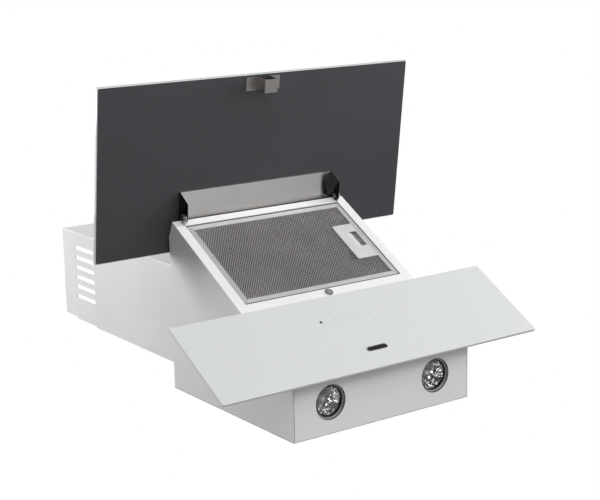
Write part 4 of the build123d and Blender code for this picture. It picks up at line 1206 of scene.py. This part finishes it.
@dataclass
class BarePlate:
    """A small plate with rounded corners, a dark face and a bright rim, and nothing on it.

    upward tells the top face before it is sunk, and near and least_face tell it afterwards.
    """

    palette: Palette
    x: float = -1.7 * MM
    slope: float = -347.6 * MM
    width: float = 39.5 * MM
    height: float = 9.8 * MM
    thickness: float = 0.9 * MM
    corner: float = 4.4 * MM
    corner_steps: int = 8
    rim: float = 1.2 * MM
    sunk: float = 0.25 * MM
    edge: float = 0.15 * MM
    upward: float = 0.9
    near: float = 0.1 * MM
    least_face: float = 50 * MM * MM

    def build(self) -> None:
        """Builds the plate."""
        Bench.clear()
        bpy.ops.mesh.primitive_cube_add(size=1.0, location=(0, 0, self.thickness / 2))
        bpy.context.object.scale = (self.width, self.height, self.thickness)
        bpy.ops.object.transform_apply(location=True, rotation=True, scale=True)
        mesh = Bench.edit()
        half = 0.5 * self.thickness
        Bench.pick_edges(mesh, lambda e: abs(e.verts[0].co.z - e.verts[1].co.z) > half)
        bpy.ops.mesh.bevel(offset=self.corner, segments=self.corner_steps, affect="EDGES")
        mesh = bmesh.from_edit_mesh(bpy.context.object.data)
        Bench.pick_faces(mesh, lambda face: face.normal.z > self.upward)
        bpy.ops.mesh.inset(thickness=self.rim)
        bpy.ops.mesh.extrude_region_move(TRANSFORM_OT_translate={"value": (0, 0, -self.sunk)})
        bpy.ops.object.mode_set(mode="OBJECT")
        Bench.modify("BEVEL", width=self.edge, segments=2, limit_method="ANGLE")
        place = FACE @ Matrix.Translation((self.x, self.slope, GLASS_TOP))
        rim = self.palette.get("plate_rim")
        plate = Bench.settle("bare_plate", place, rim, "hood", "screw")
        plate.data.materials.append(self.palette.get("plate"))
        floor = GLASS_TOP + self.thickness - self.sunk
        inside = FACE.inverted()
        for face in plate.data.polygons:
            centre = inside @ face.center
            if abs(centre.z - floor) < self.near and face.area > self.least_face:
                face.material_index = 1


@dataclass
class Studio:
    """Floor, light and camera. Each light has a name, a place, a size and a power in watts."""

    camera_place: tuple = (-1.304784, -0.735513, -1.901768)
    camera_turn: tuple = (0.103674, 0.945567, 0.043175, -0.305436)
    lens: float = 86.668
    sensor: float = 36.0
    clip: tuple = (0.05, 60.0)
    floor_level: float = -2.2
    floor_size: float = 14.0
    surround: float = 0.17
    target: tuple = (0.0, -0.25, 0.0)

    LIGHTS = (
        ("front_light", (-0.3, -2.2, -1.6), 2.0, 40.0),
        ("upper_light", (-1.6, -0.9, 1.6), 1.4, 34.0),
        ("side_light", (-0.9, -0.45, 0.9), 0.7, 3.0),
        ("far_light", (2.4, -1.2, -0.6), 1.6, 66.0),
    )
    DISH_LIGHTS = (
        ("dish_light_back", (0.40, 0.65, -1.18), 0.5, 7.0),
        ("dish_light_front", (-0.78, -0.71, -0.93), 0.5, 5.5),
    )

    def floor(self) -> None:
        """Lays the floor."""
        Bench.clear()
        place = (0, 0, self.floor_level)
        bpy.ops.mesh.primitive_plane_add(size=self.floor_size, location=place)
        floor = bpy.context.object
        floor.name = "floor"
        floor.data.materials.append(PaleFloor("floor").material())

    def area(
        self, name: str, place: tuple, size: float, power: float, target: Vector
    ) -> bpy.types.Object:
        """Adds a soft square light.

        Args:
            name: its name.
            place: where it stands.
            size: its side in metres.
            power: its power in watts.
            target: the point it faces.

        Returns:
            The light.
        """
        data = bpy.data.lights.new(name, "AREA")
        data.shape = "SQUARE"
        data.size = size
        data.energy = power
        lamp = bpy.data.objects.new(name, data)
        lamp.location = place
        lamp.rotation_mode = "QUATERNION"
        lamp.rotation_quaternion = (target - Vector(place)).to_track_quat("-Z", "Y")
        bpy.context.scene.collection.objects.link(lamp)
        return lamp

    def sparkle(self, dishes: list) -> None:
        """Adds small lights that only the lamps' dishes mirror.

        Args:
            dishes: the dishes.
        """
        lit = bpy.data.collections.new("dishes")
        for dish in dishes:
            lit.objects.link(dish)
        mouth = Vector((0.0, -LAMP_WALL_DISTANCE, LAMP_FACE))
        for light in self.DISH_LIGHTS:
            self.area(*light, mouth).light_linking.receiver_collection = lit

    def world(self) -> None:
        """Makes a white surround, softer as a light than as a background."""
        world = bpy.data.worlds.new("studio")
        world.use_nodes = True
        bpy.context.scene.world = world
        tree = world.node_tree
        background = tree.nodes["Background"]
        background.inputs["Color"].default_value = (1.0, 1.0, 1.0, 1.0)
        path = tree.nodes.new("ShaderNodeLightPath")
        strength = tree.nodes.new("ShaderNodeMapRange")
        tree.links.new(path.outputs["Is Camera Ray"], strength.inputs["Value"])
        strength.inputs["To Min"].default_value = self.surround
        strength.inputs["To Max"].default_value = 1.0
        tree.links.new(strength.outputs["Result"], background.inputs["Strength"])

    def camera(self) -> None:
        """Sets the camera at the photograph's viewing angle."""
        data = bpy.data.cameras.new("camera")
        data.sensor_width = self.sensor
        data.lens = self.lens
        data.clip_start, data.clip_end = self.clip
        camera = bpy.data.objects.new("camera", data)
        camera.location = self.camera_place
        camera.rotation_mode = "QUATERNION"
        camera.rotation_quaternion = Quaternion(self.camera_turn)
        bpy.context.scene.collection.objects.link(camera)
        bpy.context.scene.camera = camera

    def build(self) -> None:
        """Sets up the whole studio."""
        self.floor()
        self.world()
        self.camera()
        for light in self.LIGHTS:
            self.area(*light, Vector(self.target))
        bpy.context.scene.view_settings.view_transform = "Standard"


def main() -> None:
    """Builds the hood's looks in order."""
    logging.basicConfig(level=logging.INFO, format="%(message)s")
    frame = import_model()
    studio = Studio()
    studio.build()
    palette = Palette()
    palette.dress(frame["nodes"], frame["record"])
    MeshLayer(
        palette, "filter_mesh_open", "filter_mesh_front", level=-2.1 * MM, tray=MeshLayer.TRAY
    ).build()
    MeshLayer(palette, "filter_mesh_rear", "filter_mesh_back", level=-8.7 * MM).build()
    sides = (("left", -LAMP_X), ("right", LAMP_X))
    studio.sparkle([SpotLamp(palette, name, x).build() for name, x in sides])
    ControlMarks(palette).build()
    BarePlate(palette).build()


if __name__ == "__main__":
    main()
